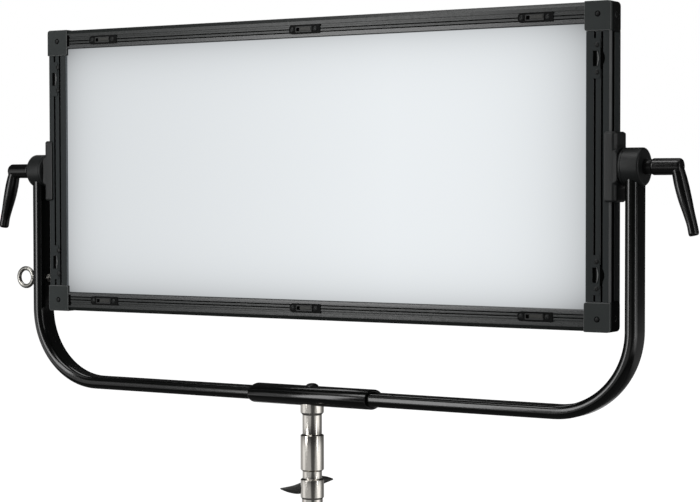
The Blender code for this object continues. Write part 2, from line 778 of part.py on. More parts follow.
def yoke_tubes():
    inner_a, inner_b = TUBE_A - TUBE_WALL, TUBE_B - TUBE_WALL
    stretch, inner_stretch = TUBE_B / TUBE_A, inner_b / inner_a
    past = 4 * MM
    for side, out in SIDES:
        bar = tube(f"yoke_tube_{side}", yoke_path(0, TUBE_END_X, out), TUBE_A, "gloss", stretch)
        bore_path = yoke_path(past, TUBE_END_X - past, out)
        bore = tube(f"tube_bore_{side}", bore_path, inner_a, "gloss", inner_stretch)
        saddle_ends = ((out * 400 * MM, 0, 0), (out * 450 * MM, 0, 0))
        saddle = rod(f"saddle_{side}", HUB_R + GAP, *saddle_ends, "gloss", 28)
        cut(bar, bore, saddle)
        if side == "left":
            eye_ends = ((-450 * MM, 0, EYE_Z), (-400 * MM, 0, EYE_Z))
            cut(bar, rod("eye_hole", EYE_SHANK_R + GAP, *eye_ends, "gloss", 16))


def sleeve():
    middle, length = sum(SLEEVE_X) / 2, SLEEVE_X[1] - SLEEVE_X[0]
    body = ellipse_bar("yoke_sleeve", SLEEVE_A, SLEEVE_B, middle, length, "gloss")
    bore = ellipse_bar("sleeve_bore", TUBE_A + GAP, TUBE_B + GAP, middle, length + 8 * MM, "gloss")
    hole_ends = ((0, 0, RUN_Z - 20 * MM), (0, 0, RUN_Z + 20 * MM))
    bolt_hole = rod("sleeve_bolt_hole", BOLT_R + GAP, *hole_ends, "gloss", 20)
    cut(body, bore, bolt_hole)
    bolt = [(0, 3.4), (3.6, 3.1), (6.3, 2.0), (7.6, 0.5), (7.6, 0.3), (4, 0.3), (4, -34), (0, -34)]
    points = [(r * MM, h * MM) for r, h in bolt]
    turned("spigot_bolt", points, "zinc", (0, 0, RUN_Z + SLEEVE_A), None, 24)


def ellipse_bar(name, half_z, half_y, middle, length, look):
    """A straight bar along X with an elliptical section, centred on the bottom run."""
    bar = rod(name, half_z, (middle - length / 2, 0, 0), (middle + length / 2, 0, 0), look, 28)
    turn = bar.rotation_euler.to_matrix().to_4x4()
    bar.data.transform(turn)
    bar.data.transform(Matrix.Diagonal((1, half_y / half_z, 1, 1)))
    bar.rotation_euler = (0, 0, 0)
    bar.location = (middle, 0, RUN_Z)
    return bar


def spigot():
    end = -PIVOT_Z
    steps = [
        (0, -281),
        (SPIGOT_R, -281),
        (SPIGOT_R, -297),
        (SPIGOT_NECK_R, -299),
        (SPIGOT_NECK_R, -322),
        (SPIGOT_R, -325),
        (SPIGOT_R, -366.8),
        (SPIGOT_NECK_R, -368),
        (SPIGOT_NECK_R, -377.4),
        (SPIGOT_R, -378.6),
        (SPIGOT_R, -400.5),
        (SPIGOT_TIP_R, -402.5),
    ]
    profile = [(radius, z * MM) for radius, z in steps] + [(SPIGOT_TIP_R, end), (0, end)]
    pin = turned("spigot", profile, "steel", steps=28)
    seat = ellipse_bar("spigot_seat", SLEEVE_A + GAP, SLEEVE_B + GAP, 0, 60 * MM, "steel")
    receiver = rod("receiver", RECEIVER_R, (0, 0, end - 5 * MM), (0, 0, end + RECEIVER_DEPTH), "steel", 24)
    tapped = rod("tapped", BOLT_R + GAP, (0, 0, -270 * MM), (0, 0, -303 * MM), "steel", 20)
    centre = Vector((0, 0, WING_Z))
    cross = rod("cross", 3.8 * MM, centre, centre + WING_AXIS * 30 * MM, "steel", 20)
    cut(pin, seat, receiver, tapped, cross)


def wing_screw():
    """A clamping screw into the receiver: shank, hub and two horns that sweep outwards."""
    tilt = Matrix.Rotation(WING_TILT, 3, WING_AXIS)
    side = tilt @ Vector((0, 0, 1)).cross(WING_AXIS).normalized()
    up = WING_AXIS.cross(side)
    turn = axes(side, up, WING_AXIS)
    profile = [(0, 31), (4.5, 31), (6.5, 28.5), (7, 19), (5.2, 16.4), (3.5, 16.4), (3.5, 9.2), (0, 9.2)]
    points = [(r * MM, h * MM) for r, h in profile]
    screw = turned("wing_screw", points, "zinc", (0, 0, WING_Z), turn, 24)
    route = [(3, 23, 4.2), (10, 23.5, 4.4), (18, 26, 4.6), (26, 30, 4.8), (WING_REACH, 33, 4.4)]
    wings = []
    for label, way in SIDES:
        curve = bpy.data.curves.new(f"wing_{label}", "CURVE")
        curve.dimensions = "3D"
        curve.bevel_depth = MM
        curve.bevel_resolution = 2
        curve.use_fill_caps = True
        spline = curve.splines.new("POLY")
        spline.points.add(len(route) - 1)
        for point, (reach, high, radius) in zip(spline.points, route):
            point.co = (way * reach * MM, 0, high * MM, 1)
            point.radius = radius
        swept = bpy.data.objects.new(f"wing_{label}", curve)
        PARTS.objects.link(swept)
        wing = curve_to_mesh(swept, f"wing_{label}", "zinc")
        wing.location = screw.location
        wing.rotation_euler = screw.rotation_euler
        wings.append(wing)
    join(screw, *wings)


def safety_eye():
    """An eye bolt through the left arm, its nut on the inside."""
    shank = rod("eye_bolt", EYE_SHANK_R, (-408.6 * MM, 0, EYE_Z), (-442.5 * MM, 0, EYE_Z), "steel", 16)
    bpy.ops.mesh.primitive_torus_add(
        major_radius=EYE_RING_R,
        minor_radius=EYE_WIRE_R,
        major_segments=24,
        minor_segments=8,
        rotation=(math.pi / 2, 0, 0),
    )
    torus = bpy.context.object
    ring_mesh = torus.data
    ring_mesh.transform(torus.rotation_euler.to_matrix().to_4x4())
    bpy.data.objects.remove(torus, do_unlink=True)
    ring = add("eye_ring", ring_mesh, "steel", (-EYE_X, 0, EYE_Z))
    collar = rod("eye_collar", 5.5 * MM, (-432.5 * MM, 0, EYE_Z), (-436 * MM, 0, EYE_Z), "steel", 16)
    join(shank, ring, collar)
    nut = rod("eye_nut", 5.8 * MM, (-415.2 * MM, 0, EYE_Z), (-410.4 * MM, 0, EYE_Z), "steel", 6)
    bore_ends = ((-420 * MM, 0, EYE_Z), (-405 * MM, 0, EYE_Z))
    cut(nut, rod("eye_nut_bore", EYE_SHANK_R + GAP, *bore_ends, "steel", 16))


def ratchet_levers():
    """Clamping levers: a core that screws on the stud, and a handle that lifts off its splines."""
    for side, out in SIDES:
        direction = ALONG_X if out > 0 else ALONG_MINUS_X
        start, step, core_end, hub_end = LEVER_X
        bore = STUD_R + GAP
        core = [
            (0, core_end),
            (LEVER_CORE_R, core_end),
            (LEVER_CORE_R, step),
            (LEVER_COLLAR_R, step),
            (LEVER_COLLAR_R, start),
            (bore, start),
            (bore, 463 * MM),
            (0, 463 * MM),
        ]
        turned(f"lever_core_{side}", core, "black", (0, 0, 0), direction, 24)
        hub = [
            (0, hub_end),
            (LEVER_HUB_R - 2 * MM, hub_end),
            (LEVER_HUB_R, hub_end - 2 * MM),
            (LEVER_HUB_R, step + GAP),
            (LEVER_CORE_R + GAP, step + GAP),
            (LEVER_CORE_R + GAP, core_end + MM),
            (0, core_end + MM),
        ]
        handle = turned(f"lever_handle_{side}", hub, "gloss", (0, 0, 0), direction, 24)
        route = [
            (474, 2, 0.5),
            (475.5, -8, 0.8),
            (478, -20, 0.88),
            (482, -35, 0.84),
            (486.5, -50, 0.7),
            (490.2, -62, 0.63),
            (492, -71, 0.62),
            (492.6, -75, 0.58),
        ]
        points = [(out * x * MM, z * MM, scale) for x, z, scale in route]
        arm = tube(f"lever_arm_{side}", points, LEVER_ARM_R, "gloss", LEVER_STRETCH)
        keep_out = rod(
            f"lever_bore_{side}",
            LEVER_CORE_R + GAP,
            (out * (step - 10 * MM), 0, 0),
            (out * (core_end + MM), 0, 0),
            "gloss",
            24,
        )
        join(handle, arm)
        cut(handle, keep_out)


rails()
corner_caps()
accessory_catches()
optics()
heat_sink()
fans()
rear_cover()
control_housing()
rear_controls()
electronics()
pivot_brackets()
hubs()
yoke_tubes()
sleeve()
spigot()
wing_screw()
safety_eye()
ratchet_levers()
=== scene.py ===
"""Looks of the LED panel light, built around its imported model.

Pieces are drawn in millimetres about the tilt axis: X along the panel, Y to the back, Z up.
"""

import json
import math

import bmesh
import bpy
from mathutils import Matrix, Vector


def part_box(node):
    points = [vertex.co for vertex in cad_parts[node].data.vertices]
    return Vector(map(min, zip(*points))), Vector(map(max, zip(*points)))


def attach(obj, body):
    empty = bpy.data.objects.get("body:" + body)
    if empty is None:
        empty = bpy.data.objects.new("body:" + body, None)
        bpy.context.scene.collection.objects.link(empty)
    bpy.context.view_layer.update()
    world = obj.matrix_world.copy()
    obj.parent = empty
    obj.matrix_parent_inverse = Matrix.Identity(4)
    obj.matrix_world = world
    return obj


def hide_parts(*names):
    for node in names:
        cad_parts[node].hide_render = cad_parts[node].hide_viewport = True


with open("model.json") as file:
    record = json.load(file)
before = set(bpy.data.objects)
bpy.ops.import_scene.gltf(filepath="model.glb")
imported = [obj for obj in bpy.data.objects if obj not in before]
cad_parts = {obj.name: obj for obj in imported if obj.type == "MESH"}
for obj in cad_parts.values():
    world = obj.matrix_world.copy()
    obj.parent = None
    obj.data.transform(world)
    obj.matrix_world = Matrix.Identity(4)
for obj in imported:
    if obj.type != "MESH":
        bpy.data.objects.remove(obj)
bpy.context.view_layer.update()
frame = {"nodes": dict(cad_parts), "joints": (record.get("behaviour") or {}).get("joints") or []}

MM = 0.001
JOINTS = {joint["name"]: joint for joint in frame["joints"]}
PIVOT = Vector(JOINTS["tilt"]["pos_m"])
SIDES = (("left", -1), ("right", 1))
LEVELS = (("top", 1), ("bottom", -1))
RIGHTWARD = (1, 0, 0)
FORWARD = (0, -1, 0)
BACKWARD = (0, 1, 0)


def span(node):
    """The lowest and highest corner of a CAD node, in millimetres from the tilt axis."""
    low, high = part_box(node)
    return (low - PIVOT) / MM, (high - PIVOT) / MM


# Driving sizes, read from the frame
RAIL_LOW, RAIL_HIGH = span("top_rail")
SIDE_LOW, SIDE_HIGH = span("right_rail")
CAP_LOW, CAP_HIGH = span("corner_cap_top_right")
HUB_LOW, HUB_HIGH = span("yoke_hub_right")
TUBE_LOW, TUBE_HIGH = span("yoke_tube_right")
SLEEVE_LOW, SLEEVE_HIGH = span("yoke_sleeve")
COVER_LOW, COVER_HIGH = span("rear_cover")
HOUSING_LOW, HOUSING_HIGH = span("control_housing")
PLATE_LOW, PLATE_HIGH = span("control_panel")
BRACKET_HIGH = span("pivot_bracket_right")[1]
FRONT = RAIL_LOW.y
BACK = RAIL_HIGH.y
HALF_X, HALF_Z = SIDE_HIGH.x, RAIL_HIGH.z
OPEN_X, OPEN_Z = SIDE_LOW.x, RAIL_LOW.z
CAP_X, CAP_Z = CAP_LOW.x, CAP_LOW.z
HUB_R = HUB_HIGH.z
RUN_Z = (SLEEVE_LOW.z + SLEEVE_HIGH.z) / 2
TUBE_A, TUBE_B = RUN_Z - TUBE_LOW.z, TUBE_HIGH.y
ARM_X = TUBE_HIGH.x - TUBE_A
PLATE_FACE = PLATE_HIGH.y
WING_Z = (JOINTS["wing_turn"]["pos_m"][2] - PIVOT.z) / MM
WING_AXIS = Vector(JOINTS["wing_turn"]["axis"])
WING_AXIS = WING_AXIS if WING_AXIS.y > 0 else -WING_AXIS
HALF = {0: HALF_X, 2: HALF_Z}

# Sizes that only the looks need. A groove is its place, width and depth.
SIDE_WALL = 3.5
FRONT_WALL = 5
TOP_GROOVES = ((164.9, 1.1, 1.2), (168.8, 1.1, 1.2), (173.0, 2.4, 0.8))
SIDE_GROOVES = ((381.6, 2.4, 2.5), (390.3, 2.5, 2.5))
DARK_GROOVES = {0: SIDE_GROOVES, 2: TOP_GROOVES[:2]}
LIP_END = 162.4
TOP_EDGE = 4.5
SIDE_EDGE = 2.1
# The line along the outer sides: where it starts and ends behind the front, and its depth
SIDE_LINE = (4.4, 10.4, 1.6)
CAP_SCREW = (385.2, 169.2)
CAP_SIDE_SCREW = (12, 168.5)
FAN_X = 290
MARK_X = 138
BEND_R = 94.7
WING_TILT = math.radians(-17)
SOCKETS = ("power_inlet", "dmx_input", "dmx_output")


# ---------------------------------------------------------------- materials


def node_tree(name):
    made = bpy.data.materials.new(name)
    made.use_nodes = True
    return made, made.node_tree, made.node_tree.nodes["Principled BSDF"]


def add_node(tree, kind, **settings):
    node = tree.nodes.new(kind)
    for key, value in settings.items():
        setattr(node, key, value)
    return node


def fill(node, **values):
    """Sets a node's inputs by name, with underscores for the spaces."""
    for label, value in values.items():
        node.inputs[label.replace("_", " ")].default_value = value


def place_on(tree):
    """The place on an object, in its own axes."""
    return add_node(tree, "ShaderNodeTexCoord").outputs["Object"]


def calculate(operation, *values):
    """The output of a Math node. Of the values, at least one is the output of another node."""
    tree = next(value.id_data for value in values if not isinstance(value, (int, float)))
    node = add_node(tree, "ShaderNodeMath", operation=operation)
    for socket, value in zip(node.inputs, values):
        if isinstance(value, (int, float)):
            socket.default_value = value
        else:
            tree.links.new(value, socket)
    return node.outputs[0]


def plus(first, second):
    return calculate("ADD", first, second)


def times(first, second):
    return calculate("MULTIPLY", first, second)


def noise(coordinates, size_mm, detail=3.0, stretch=(1, 1, 1)):
    """Noise whose features are about size_mm across, stretched along the axes."""
    tree = coordinates.id_data
    mapping = add_node(tree, "ShaderNodeMapping")
    fill(mapping, Scale=[1 / s for s in stretch])
    tree.links.new(coordinates, mapping.inputs["Vector"])
    made = add_node(tree, "ShaderNodeTexNoise")
    fill(made, Scale=1000 / size_mm, Detail=detail)
    tree.links.new(mapping.outputs[0], made.inputs["Vector"])
    return made.outputs["Fac"]


def between(factor, low, high):
    """Spreads a noise over a range of values."""
    tree = factor.id_data
    node = add_node(tree, "ShaderNodeMapRange")
    fill(node, From_Min=0.3, From_Max=0.7, To_Min=low, To_Max=high)
    tree.links.new(factor, node.inputs["Value"])
    return node.outputs[0]


def surface(name, colour, rough, metallic=0.0, grain=(0.5, 0.1), mottle=0.12, stretch=(1, 1, 1), **extra):
    """A finish with a fine grain (size in mm, height in mm), uneven roughness and slight colour mottling."""
    made, tree, shader = node_tree(name)
    place = place_on(tree)
    fine = noise(place, grain[0], 4, stretch)
    broad = noise(place, 38, 4)
    tint = add_node(tree, "ShaderNodeMix", data_type="RGBA")
    tint.inputs[6].default_value = (*[c * (1 - mottle) for c in colour], 1)
    tint.inputs[7].default_value = (*[min(1, c * (1 + mottle)) for c in colour], 1)
    blend = plus(calculate("MULTIPLY_ADD", broad, 0.6, -0.1), times(fine, 0.6))
    tree.links.new(blend, tint.inputs[0])
    tree.links.new(tint.outputs[2], shader.inputs["Base Color"])
    tree.links.new(between(fine, rough * 0.85, min(1, rough * 1.15)), shader.inputs["Roughness"])
    bump = add_node(tree, "ShaderNodeBump")
    fill(bump, Strength=1.0, Distance=grain[1] * MM)
    tree.links.new(fine, bump.inputs["Height"])
    tree.links.new(bump.outputs[0], shader.inputs["Normal"])
    fill(shader, Metallic=metallic, **extra)
    return made


def opal_surface():
    """The lit diffuser: brightest right of the middle, softly darker to the left and at the rims."""
    made, tree, shader = node_tree("opal_lit")
    place = place_on(tree)
    split = add_node(tree, "ShaderNodeSeparateXYZ")
    tree.links.new(place, split.inputs[0])
    x, z = split.outputs[0], split.outputs[2]
    leftward = calculate("MAXIMUM", calculate("SUBTRACT", 0.12, x), 0)
    level = times(leftward, -0.31)
    rims = ((x, OPEN_X, 1, 0.30, 0.045), (x, OPEN_X, -1, 0.20, 0.022))
    rims += ((z, OPEN_Z, 1, 0.25, 0.022), (z, OPEN_Z, -1, 0.25, 0.022))
    for axis, half, way, loss, reach in rims:
        inward = plus(times(axis, -way), half * MM)
        fall = calculate("EXPONENT", times(inward, -1 / reach))
        level = plus(level, times(fall, -loss))
    grain = times(noise(place, 1.2, 2), 0.012)
    level = plus(plus(level, grain), OPAL_PEAK)
    fill(shader, Base_Color=(0.03, 0.031, 0.032, 1), Emission_Color=(0.962, 1.0, 1.026, 1))
    fill(shader, Roughness=0.6, Specular_IOR_Level=0.1)
    tree.links.new(level, shader.inputs["Emission Strength"])
    return made


def gloss(level):
    """The strength of a finish's surface reflection, as a setting of its shader."""
    return {"Specular_IOR_Level": level}


def glowing(name, colour, strength):
    made, tree, shader = node_tree(name)
    place = place_on(tree)
    flicker = between(noise(place, 4), strength * 0.9, strength * 1.1)
    tree.links.new(flicker, shader.inputs["Emission Strength"])
    fill(shader, Base_Color=(*colour, 1), Emission_Color=(*colour, 1))
    return made


OPAL_PEAK = 0.828
MATTE = gloss(0.12)
SATIN = gloss(0.28)
LOOKS = {
    "rail": surface(
        "anodised_rail", (0.0135, 0.0155, 0.015), 0.30, 0.0, (0.35, 0.02), 0.12, (12, 1, 12), **gloss(0.36)
    ),
    "side_rail": surface(
        "anodised_side_rail", (0.025, 0.0285, 0.029), 0.6, 0.0, (0.35, 0.02), 0.12, (1, 1, 12), **MATTE
    ),
    "lip": surface(
        "polished_lip", (0.018, 0.020, 0.021), 0.28, 0.0, (0.3, 0.02), 0.08, (12, 1, 1), **gloss(0.62)
    ),
    "cap": surface("textured_cap", (0.0335, 0.0375, 0.037), 0.65, 0.0, (0.9, 0.16), 0.22, **MATTE),
    # A light grey on rounded front edges and catch ridges: a painted highlight where these edges catch the
    # light.
    "painted_edge_highlight": surface(
        "rail_edge_painted_highlight", (0.135, 0.137, 0.137), 0.45, 0.0, (0.5, 0.03), 0.3, (1, 1, 20), **SATIN
    ),
    # The caps' bevels get a lighter grey: a painted highlight along their lit edges.
    "cap_edge": surface("cap_edge_painted_highlight", (0.125, 0.128, 0.127), 0.55, 0.0, (1.1, 0.08), 0.3, **MATTE),
    "catch": surface("satin_catch", (0.017, 0.018, 0.0175), 0.45, 0.0, (0.4, 0.03), **SATIN),
    # The catch seats are near black: partly their own dark colour, partly painted shade round the tongue.
    "catch_seat_dark_and_shade": surface("catch_seat_dark_and_shade", (0.0025, 0.0027, 0.0027), 0.6, 0.0, (0.4, 0.03), **gloss(0.09)),
    # Light bluish grey on the side rails' inner walls at the aperture: painted glow from the lit diffuser.
    "inner_wall": surface("inner_wall_painted_glow", (0.13, 0.145, 0.155), 0.5, 0.0, (0.3, 0.02), 0.08, **SATIN),
    "tongue": surface(
        "catch_tongue", (0.026, 0.026, 0.023), 0.45, 0.0, (0.4, 0.02), 0.1, (6, 1, 1), **SATIN
    ),
    # Near black for grooves, recesses and gaps that lie in shade: painted shade.
    "hollow": surface("painted_shade_black", (0.002, 0.002, 0.002), 0.8, **gloss(0)),
    "black_screw": surface("black_screw", (0.018, 0.019, 0.019), 0.4, 0.15, (0.3, 0.02), **SATIN),
    "opal": opal_surface(),
    "casting": surface(
        "black_casting", (0.0095, 0.0105, 0.0105), 0.42, 0.0, (0.8, 0.06), 0.15, **gloss(0.38)
    ),
    "enamel": surface("gloss_enamel", (0.0025, 0.0028, 0.0026), 0.16, 0.0, (5, 0.0012), 0.1, **gloss(0.6)),
    "lever": surface("gloss_lever", (0.004, 0.004, 0.004), 0.2, 0.0, (2.0, 0.003), 0.1),
    "blackened": surface("blackened_steel", (0.02, 0.02, 0.02), 0.3, 0.6, (0.5, 0.02), 0.1, (1, 1, 6)),
    "nickel": surface("turned_nickel", (0.74, 0.71, 0.66), 0.16, 1.0, (0.5, 0.006), 0.05, (30, 30, 1)),
    "steel": surface("stainless", (0.62, 0.60, 0.55), 0.25, 1.0, (1.0, 0.02), 0.08),
    "eye": surface("forged_steel", (0.42, 0.41, 0.38), 0.36, 1.0, (1.0, 0.02), 0.08),
    "zinc": surface("dark_zinc", (0.05, 0.05, 0.048), 0.42, 0.4, (0.8, 0.06), 0.2),
    "shell": surface("powder_coat", (0.020, 0.0205, 0.021), 0.55, 0.0, (0.55, 0.10), 0.14),
    "plate": surface("satin_plate", (0.012, 0.012, 0.013), 0.4, 0.0, (0.3, 0.02), 0.1),
    "rubber": surface("soft_rubber", (0.005, 0.0055, 0.0055), 0.75, 0.0, (0.4, 0.05), **MATTE),
    "plastic": surface("black_plastic", (0.012, 0.012, 0.012), 0.35, 0.0, (0.7, 0.03)),
    "glass": surface("window_glass", (0.006, 0.008, 0.012), 0.06, 0.0, (6, 0.002), 0.1),
    "pixels": glowing("screen_pixels", (0.25, 0.62, 0.9), 0.6),
    "marking": surface("printed_mark", (0.62, 0.63, 0.63), 0.6, 0.0, (0.3, 0.01), 0.05),
    "brass": surface("contact_brass", (0.72, 0.52, 0.22), 0.25, 1.0, (0.5, 0.01), 0.08),
    "shellmetal": surface("satin_nickel", (0.36, 0.36, 0.37), 0.32, 1.0, (0.4, 0.02), 0.08),
    "alloy": surface("bare_alloy", (0.60, 0.60, 0.61), 0.35, 1.0, (0.4, 0.02), 0.06, (1, 1, 12)),
    "white": surface("white_enamel", (0.85, 0.86, 0.87), 0.6, 0.0, (1.0, 0.03), 0.02),
    "circuit": surface("circuit_board", (0.02, 0.13, 0.06), 0.4, 0.0, (2.0, 0.05), 0.35),
}


# ---------------------------------------------------------------- mesh tools


def point(order, values):
    """A point from values listed in an axis order such as "yzx"."""
    made = [0.0] * 3
    for letter, value in zip(order, values):
        made["xyz".index(letter)] = value
    return Vector(made)


def rounded(corners, radius, steps=3, closed=True):
    """An outline with its corners rounded. A corner may carry its own radius as a third value."""
    made = []
    count = len(corners)
    for index, corner in enumerate(corners):
        here = Vector(corner[:2])
        r = corner[2] if len(corner) > 2 else radius
        if r == 0 or (not closed and index in (0, count - 1)):
            made.append(here)
            continue
        back = Vector(corners[index - 1][:2]) - here
        ahead = Vector(corners[(index + 1) % count][:2]) - here
        reach = min(r / math.tan(back.angle(ahead) / 2), 0.48 * back.length, 0.48 * ahead.length)
        start, end = here + back.normalized() * reach, here + ahead.normalized() * reach
        for step in range(steps + 1):
            t = step / steps
            made.append((1 - t) ** 2 * start + 2 * t * (1 - t) * here + t * t * end)
    return made


def loft(loops, ring=False):
    """Skins loops of equal length in order: with flat ends, or closed on itself as a ring."""
    shape = bmesh.new()
    rows = [[shape.verts.new(p) for p in loop] for loop in loops]
    pairs = list(zip(rows, rows[1:]))
    if ring:
        pairs.append((rows[-1], rows[0]))
    for first, second in pairs:
        for i in range(len(first)):
            j = (i + 1) % len(first)
            shape.faces.new((first[i], first[j], second[j], second[i]))
    if not ring:
        shape.faces.new(reversed(rows[0]))
        shape.faces.new(rows[-1])
    bmesh.ops.remove_doubles(shape, verts=shape.verts, dist=0.0001)
    bmesh.ops.recalc_face_normals(shape, faces=shape.faces)
    return shape


def prism(outline, start, end, order):
    """An outline extruded along the last axis of the order."""
    return loft([[point(order, (u, v, w)) for u, v in outline] for w in (start, end)])


def block(low, high):
    shape = bmesh.new()
    size = Vector(high) - Vector(low)
    middle = (Vector(high) + Vector(low)) / 2
    place = Matrix.Translation(middle) @ Matrix.Diagonal((*size, 1))
    bmesh.ops.create_cube(shape, size=1, matrix=place)
    return shape


def facing(direction):
    """The turn that carries local Z to a direction."""
    return Vector(direction).to_track_quat("Z", "Y").to_matrix().to_4x4()


def moved(shape, at=(0, 0, 0), turn=None):
    shape.transform(Matrix.Translation(at) @ (turn or Matrix.Identity(4)))
    return shape


def lathe(profile, at=(0, 0, 0), axis=(0, 0, 1), steps=64, flutes=0, flute=0.0):
    """Spins (radius, height) points about an axis. Flutes ripple the wall of the widest part."""
    closed = Vector(profile[0]) == Vector(profile[-1])
    widest = max(p[0] for p in profile)
    loops = []
    for radius, height in profile[:-1] if closed else profile:
        loop = []
        for step in range(steps):
            angle = 2 * math.pi * step / steps
            ripple = flute * math.cos(flutes * angle) if radius > 0.9 * widest else 0
            loop.append(((radius + ripple) * math.cos(angle), (radius + ripple) * math.sin(angle), height))
        loops.append(loop)
    shape = loft(loops, ring=closed)
    bmesh.ops.dissolve_degenerate(shape, edges=shape.edges, dist=0.0001)
    return moved(shape, at, facing(axis))


def flipped(shape, x=1, z=1):
    """The shape mirrored left to right or top to bottom."""
    shape.transform(Matrix.Diagonal((x, 1, z, 1)))
    if x * z < 0:
        bmesh.ops.reverse_faces(shape, faces=shape.faces)
    return shape


def loose_object(shape, name="loose"):
    mesh = bpy.data.meshes.new(name)
    shape.to_mesh(mesh)
    shape.free()
    obj = bpy.data.objects.new(name, mesh)
    bpy.context.scene.collection.objects.link(obj)
    return obj


def settled(obj):
    """The result of an object's modifiers as a mesh, with the object removed."""
    graph = bpy.context.evaluated_depsgraph_get()
    made = bpy.data.meshes.new_from_object(obj.evaluated_get(graph))
    shape = bmesh.new()
    shape.from_mesh(made)
    bpy.data.meshes.remove(made)
    bpy.data.objects.remove(obj, do_unlink=True)
    return shape


def combine(shape, operation, *others):
    """The Boolean of closed meshes."""
    base = loose_object(shape)
    tools = [loose_object(other) for other in others]
    for tool in tools:
        step = base.modifiers.new("step", "BOOLEAN")
        step.operation = operation
        step.solver = "EXACT"
        step.object = tool
    made = settled(base)
    for tool in tools:
        bpy.data.objects.remove(tool, do_unlink=True)
    return made


def melted(shape, voxel, passes):
    """Fuses overlapping bodies into one skin with soft blends, as on a casting."""
    obj = loose_object(shape)
    skin = obj.modifiers.new("skin", "REMESH")
    skin.mode = "VOXEL"
    skin.voxel_size = voxel
    relax = obj.modifiers.new("relax", "SMOOTH")
    relax.factor = 0.5
    relax.iterations = passes
    return settled(obj)


def merged(*shapes):
    """Several bodies in one mesh."""
    whole = bmesh.new()
    for shape in shapes:
        mesh = bpy.data.meshes.new("part")
        shape.to_mesh(mesh)
        shape.free()
        whole.from_mesh(mesh)
        bpy.data.meshes.remove(mesh)
    return whole


def piece(name, shape, look, body, *nodes, edge=0.0, steps=2, crease=35):
    """A finished piece from a mesh in millimetres, which rides on a body and may replace CAD nodes."""
    obj = loose_object(shape, name)
    obj.data.transform(Matrix.Scale(MM, 4))
    obj.location = PIVOT
    obj.data.materials.append(LOOKS[look])
    obj.data.shade_smooth()
    if edge:
        bevel = obj.modifiers.new("edges", "BEVEL")
        bevel.width = edge * MM
        bevel.segments = steps
        bevel.limit_method = "ANGLE"
        bevel.angle_limit = math.radians(crease)
        bevel.harden_normals = True
    else:
        obj.data.set_sharp_from_angle(angle=math.radians(crease))
    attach(obj, body)
    if nodes:
        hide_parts(*nodes)
    return obj


def on_both_sides(*parts):
    """Shapes drawn as on the right, on both sides. The side's name fills the braces in the names."""
    for side, out in SIDES:
        for node, part, shape, look, body, crease in parts:
            name = node.format(side)
            copy = flipped(shape.copy(), x=out)
            piece(f"{name}_{part}", copy, look, body.format(side), name, crease=crease)


def screw_head(radius, height):
    """A pan head with a cross recess, its seat at the origin and its top along Z."""
    dome = [(0, height), (radius * 0.45, height * 0.95), (radius * 0.8, height * 0.7)]
    head = lathe([*dome, (radius, height * 0.25), (radius, -0.4), (0, -0.4)], steps=36)
    arm, width = radius * 0.55, radius * 0.16
    cross = [
        block((-arm, -width, height * 0.35), (arm, width, height * 2)),
        block((-width, -arm, height * 0.35), (width, arm, height * 2)),
    ]
    return combine(head, "DIFFERENCE", *cross)


SCREWS = {radius: screw_head(radius, radius * 0.42) for radius in (1.7, 2.3, 3.0, 4.4)}


def screws(radius, places, direction, spin=25):
    """Screw heads of one size at several places, each turned a little differently."""
    copies = []
    for index, place in enumerate(places):
        turn = facing(direction) @ Matrix.Rotation(math.radians(spin + 37 * index), 4, "Z")
        copies.append(moved(SCREWS[radius].copy(), place, turn))
    return merged(*copies)


def screw_set(name, radius, places, direction=BACKWARD, look="black_screw"):
    piece(name, screws(radius, places, direction), look, "head")


def sweep(path, sizes, sides=40, flat=0.0):
    """Ellipses along a path in the XZ plane. Sizes give the half width in that plane and along Y.

    A flat length splits each ellipse at its widest and parts the halves along Y.
    """
    loops = []
    for index, (x, z) in enumerate(path):
        back, ahead = Vector(path[max(index - 1, 0)]), Vector(path[min(index + 1, len(path) - 1)])
        along = (ahead - back).normalized()
        half, deep = sizes[index]
        loop = []
        for step in range(sides):
            angle = 2 * math.pi * (step + 0.5) / sides
            reach = half * math.cos(angle)
            part = math.copysign(flat / 2, math.sin(angle))
            loop.append((x + along.y * reach, part + deep * math.sin(angle), z - along.x * reach))
        loops.append(loop)
    return loft(loops)


def cylinder(radius, start, end, at=(0, 0, 0), axis=BACKWARD, steps=40):
    return lathe([(0, start), (radius, start), (radius, end), (0, end)], at, axis, steps)


def smoothed(route, steps=6):
    """A denser run of values through the given ones, by Catmull-Rom curves."""
    made = []
    for index in range(len(route) - 1):
        before = Vector(route[max(index - 1, 0)])
        start, end = Vector(route[index]), Vector(route[index + 1])
        after = Vector(route[min(index + 2, len(route) - 1)])
        for step in range(steps):
            t = step / steps
            straight = 2 * start + (end - before) * t
            bend = (2 * before - 5 * start + 4 * end - after) * t**2
            twist = (3 * start - before - 3 * end + after) * t**3
            made.append((straight + bend + twist) / 2)
    return [*made, Vector(route[-1])]


# ---------------------------------------------------------------- light head


def rail_section(inner, outer, grooves, edge):
    """A rail's section from the aperture outwards, as (distance from the middle, depth)."""
    start, end, sunk = SIDE_LINE
    points = [(inner, FRONT + 0.9, 0.4), (inner + 0.9, FRONT, 0.4)]
    for centre, width, deep in grooves:
        near, far = centre - width / 2, centre + width / 2
        points += [(near, FRONT, 0.25), (near + 0.1, FRONT + deep, 0.15)]
        points += [(far - 0.1, FRONT + deep, 0.15), (far, FRONT, 0.25)]
    points += [(outer - edge, FRONT, 0.4), (outer, FRONT + min(edge, start - 0.6), 0.4)]
    points += [(outer, FRONT + start, 0.3), (outer - sunk, FRONT + start, 0.1)]
    points += [(outer - sunk, FRONT + end, 0.1), (outer, FRONT + end, 0.3), (outer, BACK, 0.5)]
    points += [(outer - SIDE_WALL, BACK, 0), (outer - SIDE_WALL, FRONT + FRONT_WALL, 0)]
    points += [(inner, FRONT + FRONT_WALL, 0)]
    return rounded(points, 0.3, 4)


